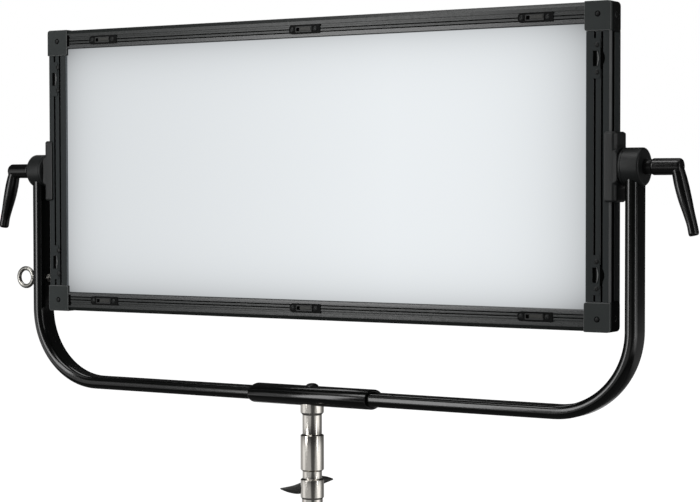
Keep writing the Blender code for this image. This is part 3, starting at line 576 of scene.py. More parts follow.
def darken_grooves(rail, away):
    """Paints near-black shade onto the faces inside a rail's grooves and of its side line."""
    rail.data.materials.append(LOOKS["hollow"])
    dark = len(rail.data.materials) - 1
    start, end, sunk = SIDE_LINE
    for face in rail.data.polygons:
        depth = face.center.y / MM - FRONT
        distance = abs(face.center[away]) / MM
        in_groove = 0.35 < depth < 3 and any(abs(distance - g[0]) < g[1] / 2 for g in DARK_GROOVES[away])
        in_line = start - 0.2 < depth < end + 0.2 and HALF[away] - sunk - 0.2 < distance < HALF[away] - 0.25
        if in_groove or in_line:
            face.material_index = dark


def rails():
    for level, up in LEVELS:
        section = rail_section(OPEN_Z, HALF_Z, TOP_GROOVES, TOP_EDGE)
        shape = flipped(prism(section, RAIL_LOW.x, RAIL_HIGH.x, "zyx"), z=up)
        rail = piece(f"{level}_rail_extrusion", shape, "rail", "head", f"{level}_rail", crease=50)
        rail.data.materials.append(LOOKS["lip"])
        for face in rail.data.polygons:
            if abs(face.center.z) < LIP_END * MM and face.normal.y < -0.3:
                face.material_index = 1
        darken_grooves(rail, 2)
    for side, out in SIDES:
        section = rail_section(OPEN_X, HALF_X, SIDE_GROOVES, SIDE_EDGE)
        shape = flipped(prism(section, SIDE_LOW.z, SIDE_HIGH.z, "xyz"), x=out)
        rail = piece(f"{side}_rail_extrusion", shape, "side_rail", "head", f"{side}_rail", crease=50)
        rail.data.materials.append(LOOKS["painted_edge_highlight"])
        rail.data.materials.append(LOOKS["inner_wall"])
        for face in rail.data.polygons:
            # The inner wall facing the aperture takes the painted diffuser glow.
            if abs(face.center.x) < (OPEN_X + 0.8) * MM and abs(face.normal.z) < 0.5:
                face.material_index = 2
            # The rounded edge between the front and the outer side takes the painted highlight.
            if face.normal.y < -0.3 and out * face.normal.x > 0.3:
                face.material_index = 1
        darken_grooves(rail, 0)


def cap_body():
    """One corner cap, as at the top right: a moulded corner, hollow at the back."""
    far_x, far_z = CAP_HIGH.x - 0.5, CAP_HIGH.z
    corners = [(CAP_X, CAP_Z, 3), (far_x, CAP_Z, 0.8), (far_x, far_z, 4.5), (CAP_X, far_z, 1)]
    body = prism(rounded(corners, 1, 5), CAP_LOW.y, CAP_HIGH.y, "xzy")
    hollow = block((0, FRONT + FRONT_WALL, 0), (HALF_X - SIDE_WALL, 90, HALF_Z - SIDE_WALL))
    return combine(body, "DIFFERENCE", hollow)


def bumper():
    """The soft pad on the outer side of a corner cap."""
    low, high = CAP_Z - 1.4, CAP_HIGH.z - 1.6
    corners = [(FRONT + 3.4, low, 1.5), (BACK, low, 5), (BACK, high, 5), (FRONT + 3.4, high, 1.5)]
    return prism(rounded(corners, 1, 5), HALF_X - 0.6, CAP_HIGH.x, "yzx")


def corner_caps():
    x, z = CAP_SCREW
    depth, height = CAP_SIDE_SCREW
    for level, up in LEVELS:
        for side, out in SIDES:
            name = f"corner_cap_{level}_{side}"
            shape = flipped(cap_body(), out, up)
            cap = piece(f"{name}_moulding", shape, "cap", "head", name, edge=1.5, steps=3, crease=40)
            # The bevel's faces take the lighter grey of the painted edge highlight.
            cap.data.materials.append(LOOKS["cap_edge"])
            cap.modifiers["edges"].material = 1
            shape = flipped(bumper(), out, up)
            piece(f"{name}_bumper", shape, "rubber", "head", edge=0.5, steps=3)
            heads = [
                screws(2.3, [(out * x, CAP_LOW.y - 0.15, up * z)], FORWARD),
                screws(4.4, [(out * (CAP_HIGH.x - 1.2), FRONT + depth, up * height)], (out, 0, 0)),
            ]
            piece(f"{name}_screws", merged(*heads), "black_screw", "head")
            # A near-black disc in the screw's recess is painted shade.
            well = cylinder(3.3, -0.15, 0.3, (x, CAP_LOW.y, z))
            piece(f"{name}_well", flipped(well, out, up), "hollow", "head")
            # On the left caps, a near-black strip over the gap to the rail is painted shadow.
            if out < 0:
                gap = block((-CAP_X, FRONT - 0.12, 162), (4 - CAP_X, FRONT + 1, 176.6))
                piece(f"{name}_gap", flipped(gap, 1, up), "hollow", "head")


def slab(across, upward, ahead, radii, steps):
    """A rectangle raised on the head's front. The radii are those of its left and right corners."""
    (left, right), (low, high), (near, far) = across, upward, ahead
    soft, hard = radii
    outline = [(left, low, soft), (right, low, hard), (right, high, hard), (left, high, soft)]
    return prism(rounded(outline, 1, steps), FRONT - near, FRONT - far, "xzy")


def front_catches():
    """Spring catches in the top and bottom rails, each with a tongue between two screws."""
    low, high = span("accessory_catch_top_centre")
    half_x, mid_z, half_z = high.x, (low.z + high.z) / 2, (high.z - low.z) / 2
    for level, up in LEVELS:
        for place in ("left", "centre", "right"):
            node = f"accessory_catch_{level}_{place}"
            low, high = span(node)
            at = Vector(((low.x + high.x) / 2, 0, up * mid_z))
            # The near-black seat round the tongue is partly painted shade.
            seat = slab((-half_x, half_x), (-half_z, half_z), (0.3, 0.7), (5, 0.6), 5)
            piece(f"{node}_seat", moved(seat, at), "catch_seat_dark_and_shade", "head", node)
            bar = slab((-12.5, 10.6), (-3.6, 3.6), (0.5, 1.4), (1.5, 0.5), 4)
            slot = block((-11.4, FRONT - 5, -2.2), (-7.0, FRONT + 2, 2.2))
            bar = moved(combine(bar, "DIFFERENCE", slot), at)
            piece(f"{node}_tongue", bar, "catch", "head", edge=0.3)
            # A near-black sheet behind the slot in the tongue is painted shade.
            hole = moved(block((-11.3, FRONT - 0.8, -2.1), (-7.1, FRONT - 0.7, 2.1)), at)
            piece(f"{node}_hole", hole, "hollow", "head")
            rib = slab((-6.2, 9.6), (-1.4, 2.4), (1.2, 1.9), (0.8, 0.8), 4)
            piece(f"{node}_rib", moved(rib, at), "tongue", "head", edge=0.3)
            spots = [at + Vector((-17.6, FRONT - 0.6, 0)), at + Vector((15.3, FRONT - 0.6, 0))]
            screw_set(f"{node}_screws", 3.0, spots, FORWARD)


def side_catches():
    """Catches in the side rails: a slot between two screws, with a bowed spring beside it."""
    for level, _ in LEVELS:
        for side, out in SIDES:
            node = f"side_catch_{level}_{side}"
            low, high = span(node)
            x, z = (low.x + high.x) / 2, (low.z + high.z) / 2
            half_z = (high.z - low.z) / 2
            plate = slab((-6.8, 4.0), (-half_z, half_z), (0.3, 0.8), (3, 3), 6)
            rim = slab((-5.2, 0.4), (-9, 9), (0.3, 1.3), (0.5, 0.5), 3)
            slot = block((-4.7, FRONT - 5, -8.5), (-0.1, FRONT + 5, 8.5))
            plate = combine(combine(plate, "UNION", rim), "DIFFERENCE", slot)
            shift = x if out > 0 else x - 3.9
            piece(f"{node}_plate", moved(plate, (shift, 0, z)), "side_rail", "head", node, edge=0.2)
            # The ridge's light grey is a painted highlight on the lit edge of the bowed spring.
            ridge = [(0.5, -9.4, 0.1), (3.1, 0, 12), (0.5, 9.4, 0.1), (1.3, 0, 12)]
            ridge = prism(rounded(ridge, 1, 6), FRONT - 0.7, FRONT - 1.7, "xzy")
            piece(f"{node}_ridge", moved(ridge, (shift, 0, z)), "painted_edge_highlight", "head")
            # Near-black sheets in the slot, and on the right a crescent beside the spring, are painted
            # shade.
            dark = block((-4.9, FRONT - 0.35, -8.7), (0.1, FRONT - 0.1, 8.7))
            if out > 0:
                bow = [(4.2, -12.5, 0.2), (10.6, 0, 14), (4.2, 12.5, 0.2)]
                dark = merged(dark, prism(rounded(bow, 1, 8), FRONT - 0.1, FRONT - 0.5, "xzy"))
            piece(f"{node}_well", moved(dark, (shift, 0, z)), "hollow", "head")
            spots = [(x, FRONT - 0.7, z + 15), (x, FRONT - 0.7, z - 15)]
            screw_set(f"{node}_screws", 3.0, spots, FORWARD)


def diffuser():
    """The opal sheet, stepped forward into the aperture and notched round the corner caps."""
    low, high = span("diffuser")
    sheet = block((low.x, FRONT + 5.4, low.z), high)
    wide = block((0.3 - OPEN_X, low.y, 0.3 - CAP_Z), (OPEN_X - 0.3, high.y - 1, CAP_Z - 0.3))
    tall = block((0.3 - CAP_X, low.y, 0.3 - OPEN_Z), (CAP_X - 0.3, high.y - 1, OPEN_Z - 0.3))
    shape = combine(sheet, "UNION", wide, tall)
    piece("diffuser_sheet", shape, "opal", "head", "diffuser", edge=0.3)


# ---------------------------------------------------------------- back of the head


def rectangle_loop(half_x, half_z, radius, y, middle_z=0.0):
    corners = [(-half_x, -half_z), (half_x, -half_z), (half_x, half_z), (-half_x, half_z)]
    return [Vector((u, y, v + middle_z)) for u, v in rounded(corners, radius, 6)]


def tapered_tray(front, back, half, inset, corner, edge, middle_z=0.0):
    """A closed tray that narrows towards its back and has a rounded back edge."""
    loops = [rectangle_loop(half[0], half[1], corner, front, middle_z)]
    run = back - front
    for step in range(5):
        angle = math.radians(22.5 * step)
        y = back - edge + edge * math.sin(angle)
        shrink = inset * (y - front) / run + edge * (1 - math.cos(angle))
        loops.append(rectangle_loop(half[0] - shrink, half[1] - shrink, corner, y, middle_z))
    return loft(loops)


def slot_cutter(length, width, low, high, order):
    """A slot with round ends, cut along the last axis of the order."""
    half, end = length / 2, width / 2
    corners = [(-half, -end), (half, -end), (half, end), (-half, end)]
    return prism(rounded(corners, end * 0.98, 5), low, high, order)


def rear_cover():
    half = (COVER_HIGH.x, COVER_HIGH.z)
    front, back = COVER_LOW.y, COVER_HIGH.y
    shell = tapered_tray(front, back, half, 20, 9, 4)
    hollow = tapered_tray(front - 5, back - 2, (half[0] - 0.2, half[1] - 0.2), 20, 8, 3)
    cutters = [hollow]
    for _, out in SIDES:
        for index in range(8):
            place = (out * FAN_X, 0, (index - 3.5) * 9.5)
            cutters.append(moved(slot_cutter(76, 4.2, back - 6, back + 4, "xzy"), place))
    for _, up in LEVELS:
        for index in range(15):
            low, high = sorted((up * 150, up * 190))
            slot = slot_cutter(34, 9, low, high, "xyz")
            cutters.append(moved(slot, ((index - 7) * 44, FRONT + 55, 0)))
    cutters.append(block((-60, back - 8, -20), (60, back + 8, 20)))
    shell = combine(shell, "DIFFERENCE", *cutters)
    piece("rear_cover_shell", shell, "shell", "head", "rear_cover", edge=0.6, steps=2, crease=50)
    spots = [(x, back - 0.1, up * 151) for x in (-366, -230, 0, 230, 366) for _, up in LEVELS]
    spots += [(out * 366, back - 0.1, 0) for _, out in SIDES]
    screw_set("rear_cover_screws", 3.0, spots)
    fan_guards(back)


def fan_guards(back):
    """A raised pad round each fan vent, held by four screws."""
    for side, out in SIDES:
        outer = rectangle_loop(47, 47, 7, back - 0.4)
        inner = rectangle_loop(42.5, 41, 5, back - 0.4)
        lift = Vector((0, 1.6, 0))
        loops = [outer, [p + lift for p in outer], [p + lift for p in inner], inner]
        frame_ring = moved(loft(loops, ring=True), (out * FAN_X, 0, 0))
        piece(f"vent_surround_{side}", frame_ring, "shell", "head", edge=0.5)
        spots = [(out * FAN_X + dx, back - 0.1, dz) for dx in (-54, 54) for dz in (-40, 40)]
        screw_set(f"vent_screws_{side}", 2.3, spots)


def control_housing():
    low, high = HOUSING_LOW, HOUSING_HIGH
    middle, half_z = (low.z + high.z) / 2, (high.z - low.z) / 2
    shell = tapered_tray(low.y, high.y, (high.x, half_z), 0.01, 7, 7, middle)
    hollow = tapered_tray(low.y - 5, high.y - 2, (high.x - 2, half_z - 2), 0.01, 6, 6, middle)
    near = (PLATE_LOW.x + 10, high.y - 6, PLATE_LOW.z + 10)
    window = block(near, (PLATE_HIGH.x - 10, high.y + 6, PLATE_HIGH.z - 10))
    shell = combine(shell, "DIFFERENCE", hollow, window)
    piece("control_housing_shell", shell, "shell", "head", "control_housing", edge=0.4, crease=50)
    spots = [(out * 186, high.y - 0.1, z) for _, out in SIDES for z in (low.z + 14, high.z - 14)]
    screw_set("housing_screws", 2.3, spots)


def control_plate():
    plate = block(PLATE_LOW, PLATE_HIGH)
    start, end = PLATE_LOW.y - 3, PLATE_HIGH.y + 3
    cutters = []
    for node, room in (("display_window", 0.6), ("power_switch", 0.65)):
        low, high = span(node)
        cutters.append(block((low.x - room, start, low.z - room), (high.x + room, end, high.z + room)))
    for node, radius in (("encoder_knob", 3.4), ("menu_button", 5.4), ("back_button", 5.4)):
        x, z = centre_of(node)
        cutters.append(cylinder(radius, start, end, (x, 0, z), steps=32))
    for node in SOCKETS:
        x, z = centre_of(node)
        cutters.append(cylinder(13.6, start, end, (x, 0, z), steps=40))
    plate = combine(plate, "DIFFERENCE", *cutters)
    piece("control_plate", plate, "plate", "head", "control_panel", edge=0.35)
    edge_x = PLATE_HIGH.x - 7
    edges_z = (PLATE_LOW.z + 6, PLATE_HIGH.z - 6)
    spots = [(x, PLATE_FACE - 0.1, z) for x in (-edge_x, 0, edge_x) for z in edges_z]
    screw_set("plate_screws", 1.7, spots, look="shellmetal")
    printed_marks()


def centre_of(node):
    low, high = span(node)
    return (low.x + high.x) / 2, (low.z + high.z) / 2


def printed_marks():
    """Dial ticks round the encoder, and frames round the groups of controls."""
    marks = []
    x, z = centre_of("encoder_knob")
    for index in range(11):
        angle = math.radians(-150 + 30 * index)
        tick = block((-0.35, PLATE_FACE - 0.3, 15), (0.35, PLATE_FACE + 0.06, 17.5 + 1.5 * (index % 5 == 0)))
        marks.append(moved(tick, (x, 0, z), Matrix.Rotation(angle, 4, "Y")))
    for node in SOCKETS:
        x, z = centre_of(node)
        ring = [(18.4, -0.3), (18.4, 0.06), (19.0, 0.06), (19.0, -0.3), (18.4, -0.3)]
        marks.append(lathe(ring, (x, PLATE_FACE, z), BACKWARD))
    for low_z, high_z in ((-14, 38), (-92, -40)):
        for level in (low_z, high_z):
            low = (-MARK_X, PLATE_FACE - 0.3, level - 0.25)
            marks.append(block(low, (MARK_X, PLATE_FACE + 0.06, level + 0.25)))
    piece("printed_marks", merged(*marks), "marking", "head")


def display():
    low, high = span("display_window")
    piece("display_glass", block(low, high), "glass", "head", "display_window", edge=0.4, steps=3)
    bars = []
    for row, length in enumerate((46, 30, 38, 22)):
        top = high.z - 7 - 8 * row
        bars.append(block((low.x + 6, high.y - 0.2, top - 3), (low.x + 6 + length, high.y + 0.05, top)))
        bars.append(block((high.x - 14, high.y - 0.2, top - 3), (high.x - 6, high.y + 0.05, top)))
    piece("display_bars", merged(*bars), "pixels", "head")


def knob_and_keys():
    x, z = centre_of("encoder_knob")
    low, high = span("encoder_knob")
    knob = [(0, low.y + 9), (3, low.y + 9), (3, low.y), (12, low.y), (12, high.y - 2.2)]
    knob += [(11.4, high.y - 1), (10, high.y), (7.5, high.y), (6.5, high.y - 0.7), (0, high.y - 0.9)]
    shape = lathe(knob, (x, 0, z), BACKWARD, 144, 24, 0.35)
    piece("fluted_knob", shape, "plastic", "encoder", "encoder_knob")
    for label in ("menu", "back"):
        x, z = centre_of(f"{label}_button")
        low, high = span(f"{label}_button")
        dome = [(0, low.y), (5, low.y), (5, high.y - 0.9), (4.4, high.y - 0.2), (3.2, high.y)]
        dome.append((0, high.y - 0.3))
        piece(f"{label}_key", lathe(dome, (x, 0, z), BACKWARD), "rubber", f"{label}_key", f"{label}_button")


def rocker_switch():
    low, high = span("power_switch")
    x, z = centre_of("power_switch")
    half = (high.z - low.z) / 2
    top, foot = high.y, low.y
    outline = [(top, -half), (top - 2, 0, 4), (top, half), (foot, half - 1.6), (foot, -half + 1.6)]
    body = moved(prism(rounded(outline, 1, 4), low.x, high.x, "yzx"), (0, 0, z))
    piece("rocker", body, "plastic", "switch", "power_switch", edge=0.5, steps=3)
    for name, lift in (("rocker_mark_on", 5.5), ("rocker_mark_off", -5.5)):
        slope = top - 2 + 2 * abs(lift) / half
        if lift > 0:
            mark = block((x - 0.5, slope - 0.3, z + lift - 2), (x + 0.5, slope + 0.25, z + lift + 2))
        else:
            ring = [(1.5, -0.6), (1.5, 0.15), (2.2, 0.15), (2.2, -0.6), (1.5, -0.6)]
            mark = lathe(ring, (x, slope + 0.1, z + lift), (0, 1, 0.17), 32)
        piece(name, mark, "marking", "switch")


def socket_ring(node, bore):
    """A panel socket: a flange with two screws, a body behind it and an open barrel."""
    low, high = span(node)
    x, z = centre_of(node)
    deep = PLATE_FACE - 11
    flange, rim = (high.x - low.x) / 2, high.y
    profile = [(0, low.y), (13, low.y), (13, PLATE_FACE + 0.3), (flange, PLATE_FACE + 0.3)]
    profile += [(flange, rim - 1.2), (flange - 1.2, rim - 0.2), (bore + 2.2, rim - 0.2), (bore + 1.6, rim)]
    profile += [(bore + 0.3, rim), (bore, rim - 0.4), (bore, deep), (0, deep)]
    return lathe(profile, (x, 0, z), BACKWARD), x, z, deep


def sockets():
    body, x, z, deep = socket_ring("power_inlet", 10.8)
    piece("power_inlet_body", body, "plastic", "head", "power_inlet")
    core = cylinder(7.6, deep - 1, deep + 8, (x, 0, z))
    rows = (z - 3.6, z + 3.6)
    blades = [block((x - 1, deep, row - 2), (x + 1, deep + 9, row + 2)) for row in rows]
    core = combine(core, "DIFFERENCE", *blades)
    piece("power_inlet_core", core, "plastic", "head", edge=0.3)
    contacts = [block((x - 0.6, deep, row - 1.6), (x + 0.6, deep + 6, row + 1.6)) for row in rows]
    piece("power_inlet_contacts", merged(*contacts), "brass", "head")
    spots = pin_places(5.0)
    body, x, z, deep = socket_ring("dmx_input", 9.6)
    piece("dmx_input_body", body, "shellmetal", "head", "dmx_input")
    pins = []
    for dx, dz in spots:
        pin = [(0, deep - 1), (1.2, deep - 1), (1.2, deep + 7.6), (0.7, deep + 8.4), (0, deep + 8.6)]
        pins.append(lathe(pin, (x + dx, 0, z + dz), BACKWARD, 20))
    piece("dmx_input_pins", merged(*pins), "brass", "head")
    floor_disc = cylinder(9.4, deep - 0.5, deep + 0.6, (x, 0, z))
    piece("dmx_input_floor", floor_disc, "plastic", "head", edge=0.2)
    body, x, z, deep = socket_ring("dmx_output", 9.6)
    piece("dmx_output_body", body, "shellmetal", "head", "dmx_output")
    core = cylinder(7.9, deep - 1, deep + 9.4, (x, 0, z))
    holes = [cylinder(1.5, deep + 1, deep + 12, (x + dx, 0, z + dz), steps=20) for dx, dz in spots]
    piece("dmx_output_core", combine(core, "DIFFERENCE", *holes), "plastic", "head", edge=0.3)
    flange_screws()


def flange_screws():
    spots = []
    for node in SOCKETS:
        x, z = centre_of(node)
        high = span(node)[1]
        spots += [(x + dx, high.y - 0.3, z + dz) for dx, dz in ((-10.2, 10.2), (10.2, -10.2))]
    screw_set("socket_screws", 1.7, spots, look="shellmetal")


def pin_places(radius):
    """Five contacts on an arc that is open at the top."""
    angles = [math.radians(-90 + 54 * (index - 2)) for index in range(5)]
    return [(radius * math.cos(angle), radius * math.sin(angle)) for angle in angles]


# ---------------------------------------------------------------- yoke and pivots


def bracket_shape():
    """A side casting as on the right: a plate with a lip over the rail's front, and the boss on it."""
    loops = []
    half = BRACKET_HIGH.z
    for step in range(41):
        z = -half + 2 * half * step / 40
        edge = max(0, abs(z) - (half - 2.2)) / 2.2
        cut = 2.0 * (1 - math.sqrt(max(0, 1 - edge**2)))
        front = FRONT - 2.3 + 0.6 * cut
        section = [(393.5 + cut, FRONT - 0.2, 0), (401.3, FRONT - 0.2, 0), (401.3, FRONT + 27, 0.5)]
        section += [(405.5 - cut, FRONT + 28.3 - cut, 1), (408 - cut, FRONT + 26 - cut, 1.5)]
        section += [(408 - cut, FRONT + 2.5, 4), (404.8 - cut, front, 3), (393.5 + cut, front, 0.8)]
        loops.append([Vector((x, y, z)) for x, y in rounded(section, 1, 4)])
    plate = loft(loops)
    boss = lathe([(0, 398), (25.2, 402), (24.6, 407.2), (22.4, 409.5), (0, 409.5)], axis=RIGHTWARD, steps=96)
    boss = combine(boss, "DIFFERENCE", block((380, -60, -60), (401.4, 60, 60)))
    boss = combine(boss, "DIFFERENCE", block((380, -60, -60), (430, FRONT - 2.2, 60)))
    return melted(merged(plate, boss), 0.6, 3)


def brackets():
    on_both_sides(("pivot_bracket_{}", "casting", bracket_shape(), "casting", "head", 60))


def hubs():
    start, face = HUB_LOW.x, HUB_HIGH.x
    fillet = 2.6
    profile = [(5.3, start), (HUB_R - 0.6, start), (HUB_R, start + 0.6), (HUB_R, start + 2.4)]
    profile += [(HUB_R - 0.5, start + 2.7), (HUB_R - 0.5, start + 3.3), (HUB_R, start + 3.6)]
    for step in range(9):
        angle = math.radians(90 * step / 8)
        profile.append((HUB_R - fillet + fillet * math.cos(angle), face - fillet + fillet * math.sin(angle)))
    profile += [(5.3, face), (5.3, start)]
    shape = lathe(profile, axis=RIGHTWARD, steps=128)
    on_both_sides(("yoke_hub_{}", "casting", shape, "casting", "yoke", 40))


def tube_route():
    """The centre line of one half of the yoke, from the hub to the middle of the bottom."""
    route = [(ARM_X, -9.0)]
    for step in range(1, 6):
        route.append((ARM_X, -9 + (RUN_Z + BEND_R + 9) * step / 6))
    for step in range(33):
        angle = math.pi / 2 * step / 32
        x = ARM_X - BEND_R + BEND_R * math.cos(angle)
        route.append((x, RUN_Z + BEND_R - BEND_R * math.sin(angle)))
    route += [(250, RUN_Z), (180, RUN_Z), (120, RUN_Z), (TUBE_LOW.x, RUN_Z)]
    return route


def tubes():
    route = tube_route()
    shape = sweep(route, [(TUBE_A - 0.4, TUBE_A - 0.2)] * len(route), 64, 2 * (TUBE_B - TUBE_A - 0.9))
    on_both_sides(("yoke_tube_{}", "bar", shape, "enamel", "yoke", 60))


def ellipse_loop(half_z, half_y, x, sides=64):
    angles = [2 * math.pi * step / sides for step in range(sides)]
    return [Vector((x, half_y * math.cos(a), RUN_Z + half_z * math.sin(a))) for a in angles]


def sleeve():
    half_z, half_y = (SLEEVE_HIGH.z - SLEEVE_LOW.z) / 2, SLEEVE_HIGH.y
    inner = (TUBE_A + 0.3, TUBE_B + 0.3)
    start, end = SLEEVE_LOW.x, SLEEVE_HIGH.x
    loops = [ellipse_loop(*inner, start + 0.4)]
    rim = [(0.9, 0), (0.25, 0.25), (0, 0.9)]
    for cut, along in rim:
        loops.append(ellipse_loop(half_z - cut, half_y - cut, start + along))
    for cut, along in reversed(rim):
        loops.append(ellipse_loop(half_z - cut, half_y - cut, end - along))
    loops.append(ellipse_loop(*inner, end - 0.4))
    piece("yoke_sleeve_tube", loft(loops, ring=True), "enamel", "yoke", "yoke_sleeve", crease=50)
    seat = span("spigot_bolt")[1].z - 3.4
    dome = [(0, 3.4), (2.6, 3.3), (4.6, 2.8), (6.3, 1.9), (7.4, 0.8), (7.6, 0.2), (7.6, -1.4), (4, -1.6)]
    dome += [(4, -10), (0, -10)]
    shape = lathe([(r, h + seat) for r, h in dome])
    piece("spigot_bolt_dome", shape, "blackened", "yoke", "spigot_bolt", crease=50)


def spigot():
    end = span("spigot")[0].z
    steps = [(14.3, -284), (14.3, -296.6, 0.6), (11.9, -299.4, 1.4), (11.9, -323.2, 0.5)]
    steps += [(14.3, -324.6, 0.5), (14.3, -366.5, 0.5), (11.9, -368.3, 0.5), (11.9, -377.2, 0.5)]
    steps.append((14.3, -378.9, 0.5))
    steps += [(14.3, -400.3, 0.5), (12.8, -402.5, 0.5), (12.8, end + 0.1, 0.6), (8.1, end, 0.5)]
    steps.append((8.1, end + 50))
    wall = [tuple(p) for p in rounded(steps, 0, 4, closed=False)]
    shape = lathe([(0, -284), *wall, (0, end + 50)], steps=96)
    cross = cylinder(3.8, 0, 30, (0, 0, WING_Z), WING_AXIS, 32)
    shape = combine(shape, "DIFFERENCE", cross)
    piece("spigot_pin", shape, "nickel", "yoke", "spigot", crease=40)


def wing_screw():
    """A clamping screw whose two horns taper to a point and sweep back from the pin."""
    hub = [(0, 31), (3.4, 30.9), (5.2, 29.9), (6.4, 28), (7, 24), (6.9, 19.5), (6.2, 17.4), (5.2, 16.4)]
    hub += [(3.5, 16.3), (3.5, 10.2), (2.6, 9.3), (0, 9.3)]
    parts = [lathe(hub, steps=48)]
    route = [(2, 0, 22, 6.6), (9, -0.6, 23, 6.8), (17, -0.4, 25.5, 5.8), (26, 2, 29.5, 3.6)]
    route = smoothed([*route, (33.4, 5.2, 33.5, 0.9)])
    oval = [(math.cos(a), math.sin(a)) for a in [math.pi * step / 14 for step in range(28)]]
    for way in (-1, 1):
        loops = []
        for reach, rise, height, half in route:
            thick = 0.8 + half * 0.35
            loops.append([(way * reach, way * (rise + half * u), height + thick * v) for u, v in oval])
        parts.append(loft(loops))
    shape = melted(merged(*parts), 0.5, 3)
    tilt = Matrix.Rotation(WING_TILT, 3, WING_AXIS)
    across = tilt @ Vector((0, 0, 1)).cross(WING_AXIS).normalized()
    turn = Matrix((across, WING_AXIS.cross(across), WING_AXIS)).transposed().to_4x4()
    piece("wing_screw_casting", moved(shape, (0, 0, WING_Z), turn), "zinc", "wing", "wing_screw", crease=60)


def safety_eye():
    low, high = span("eye_bolt")
    z = (low.z + high.z) / 2
    x = low.x + 14.85
    wire = [(11.9 + 2.95 * math.cos(a), 2.95 * math.sin(a)) for a in [math.pi * s / 10 for s in range(21)]]
    wire[-1] = wire[0]
    ring = lathe(wire, (x, 0, z), BACKWARD, 72)
    shank = lathe([(0, 408.7), (2.6, 408.7), (3, 409.2), (3, 442.6), (0, 442.6)], (0, 0, z), (-1, 0, 0), 32)
    collar = [(0, 432.4), (5.3, 432.4), (5.5, 432.7), (5.5, 435.4), (4.4, 436.4), (3.4, 439), (3.3, 443.5)]
    collar.append((0, 443.5))
    base = lathe(collar, (0, 0, z), (-1, 0, 0), 48)
    shape = melted(merged(ring, shank, base), 0.42, 3)
    piece("eye_bolt_forging", shape, "eye", "yoke", "eye_bolt", crease=60)
    low, high = span("eye_nut")
    corners = [(5.8 * math.cos(math.pi * k / 3), 5.8 * math.sin(math.pi * k / 3)) for k in range(6)]
    nut = moved(prism(corners, low.x, high.x, "yzx"), (0, 0, z))
    piece("eye_nut_hex", nut, "eye", "yoke", "eye_nut", edge=0.35)


def lever_handle():
    """A ratchet handle as on the right: a round hub that flows into a curved arm with a blunt end."""
    hub = [(0, 479.2), (6.2, 479.2), (8.2, 478.4), (9.3, 476.4), (9.4, 446), (9, 445.2), (0, 445.2)]
    route = [(471.8, 3, 0.72), (475, -8, 0.82), (478, -20, 0.88), (482, -35, 0.84), (486.4, -50, 0.72)]
    route += [(490, -62, 0.65), (491.8, -70, 0.65), (492.4, -73.6, 0.63), (492.8, -75.4, 0.5)]
    route = smoothed(route)
    arm = sweep([(p[0], p[1]) for p in route], [(8.8 * p[2], 8.8 * 1.25 * p[2]) for p in route], 40)
    shape = melted(merged(lathe(hub, axis=RIGHTWARD, steps=72), arm), 0.55, 4)
    return combine(shape, "DIFFERENCE", lathe([(0, 430), (6.9, 430), (6.9, 470), (0, 470)], axis=RIGHTWARD))


def levers():
    core = [(5.3, 435.8), (8.2, 435.8), (8.4, 436.1), (8.4, 444.3), (8.1, 444.7), (6.6, 444.7)]
    core += [(6.6, 468.6), (6.2, 469), (0, 469), (0, 463), (5.3, 463), (5.3, 435.8)]
    core = lathe(core, axis=RIGHTWARD, steps=72)
    on_both_sides(
        ("lever_core_{}", "splined", core, "blackened", "clamp_{}", 40),
        ("lever_handle_{}", "moulding", lever_handle(), "lever", "handle_{}", 60),
    )


def inner_nodes():
    """Finishes for the CAD nodes whose own shape stays."""
    looks = {
        "reflector_tray": "white",
        "led_board": "white",
        "heat_sink": "alloy",
        "power_supply": "alloy",
        "control_board": "circuit",
        "encoder_shaft": "steel",
    }
    for side, _ in SIDES:
        looks[f"fan_frame_{side}"] = "plastic"
        looks[f"fan_rotor_{side}"] = "plastic"
        looks[f"pivot_stud_{side}"] = "blackened"
        looks[f"friction_washer_{side}"] = "rubber"
    for node, look in looks.items():
        obj = frame["nodes"][node]
        for slot in obj.material_slots:
            slot.material = LOOKS[look]


# ---------------------------------------------------------------- camera and light


def camera():
    eye = bpy.data.cameras.new("photo_camera")
    eye.lens = 100.65
    eye.sensor_width = 36
    eye.clip_end = 100
    obj = bpy.data.objects.new("photo_camera", eye)
    right, up = Vector((0.85312, 0.52171, -0.00129)), Vector((-0.01576, 0.02824, 0.99948))
    back = Vector((0.52147, -0.85266, 0.03232))
    turn = Matrix((right, up, back)).transposed().to_4x4()
    obj.matrix_world = Matrix.Translation((1.28288, -2.00861, 0.38734)) @ turn
    bpy.context.scene.collection.objects.link(obj)
    bpy.context.scene.camera = obj


def softbox(name, at, target, width, height, radiance, gloss=True):
    """A rectangular light, given by its place, what it faces, its size in metres and its brightness."""
    lamp = bpy.data.lights.new(name, "AREA")
    lamp.shape = "RECTANGLE"
    lamp.size, lamp.size_y = width, height
    lamp.energy = radiance * math.pi * width * height
    obj = bpy.data.objects.new(name, lamp)
    obj.visible_glossy = gloss
    obj.location = at
    obj.rotation_euler = (Vector(at) - Vector(target)).to_track_quat("Z", "Y").to_euler()
    obj.visible_camera = False
    bpy.context.scene.collection.objects.link(obj)


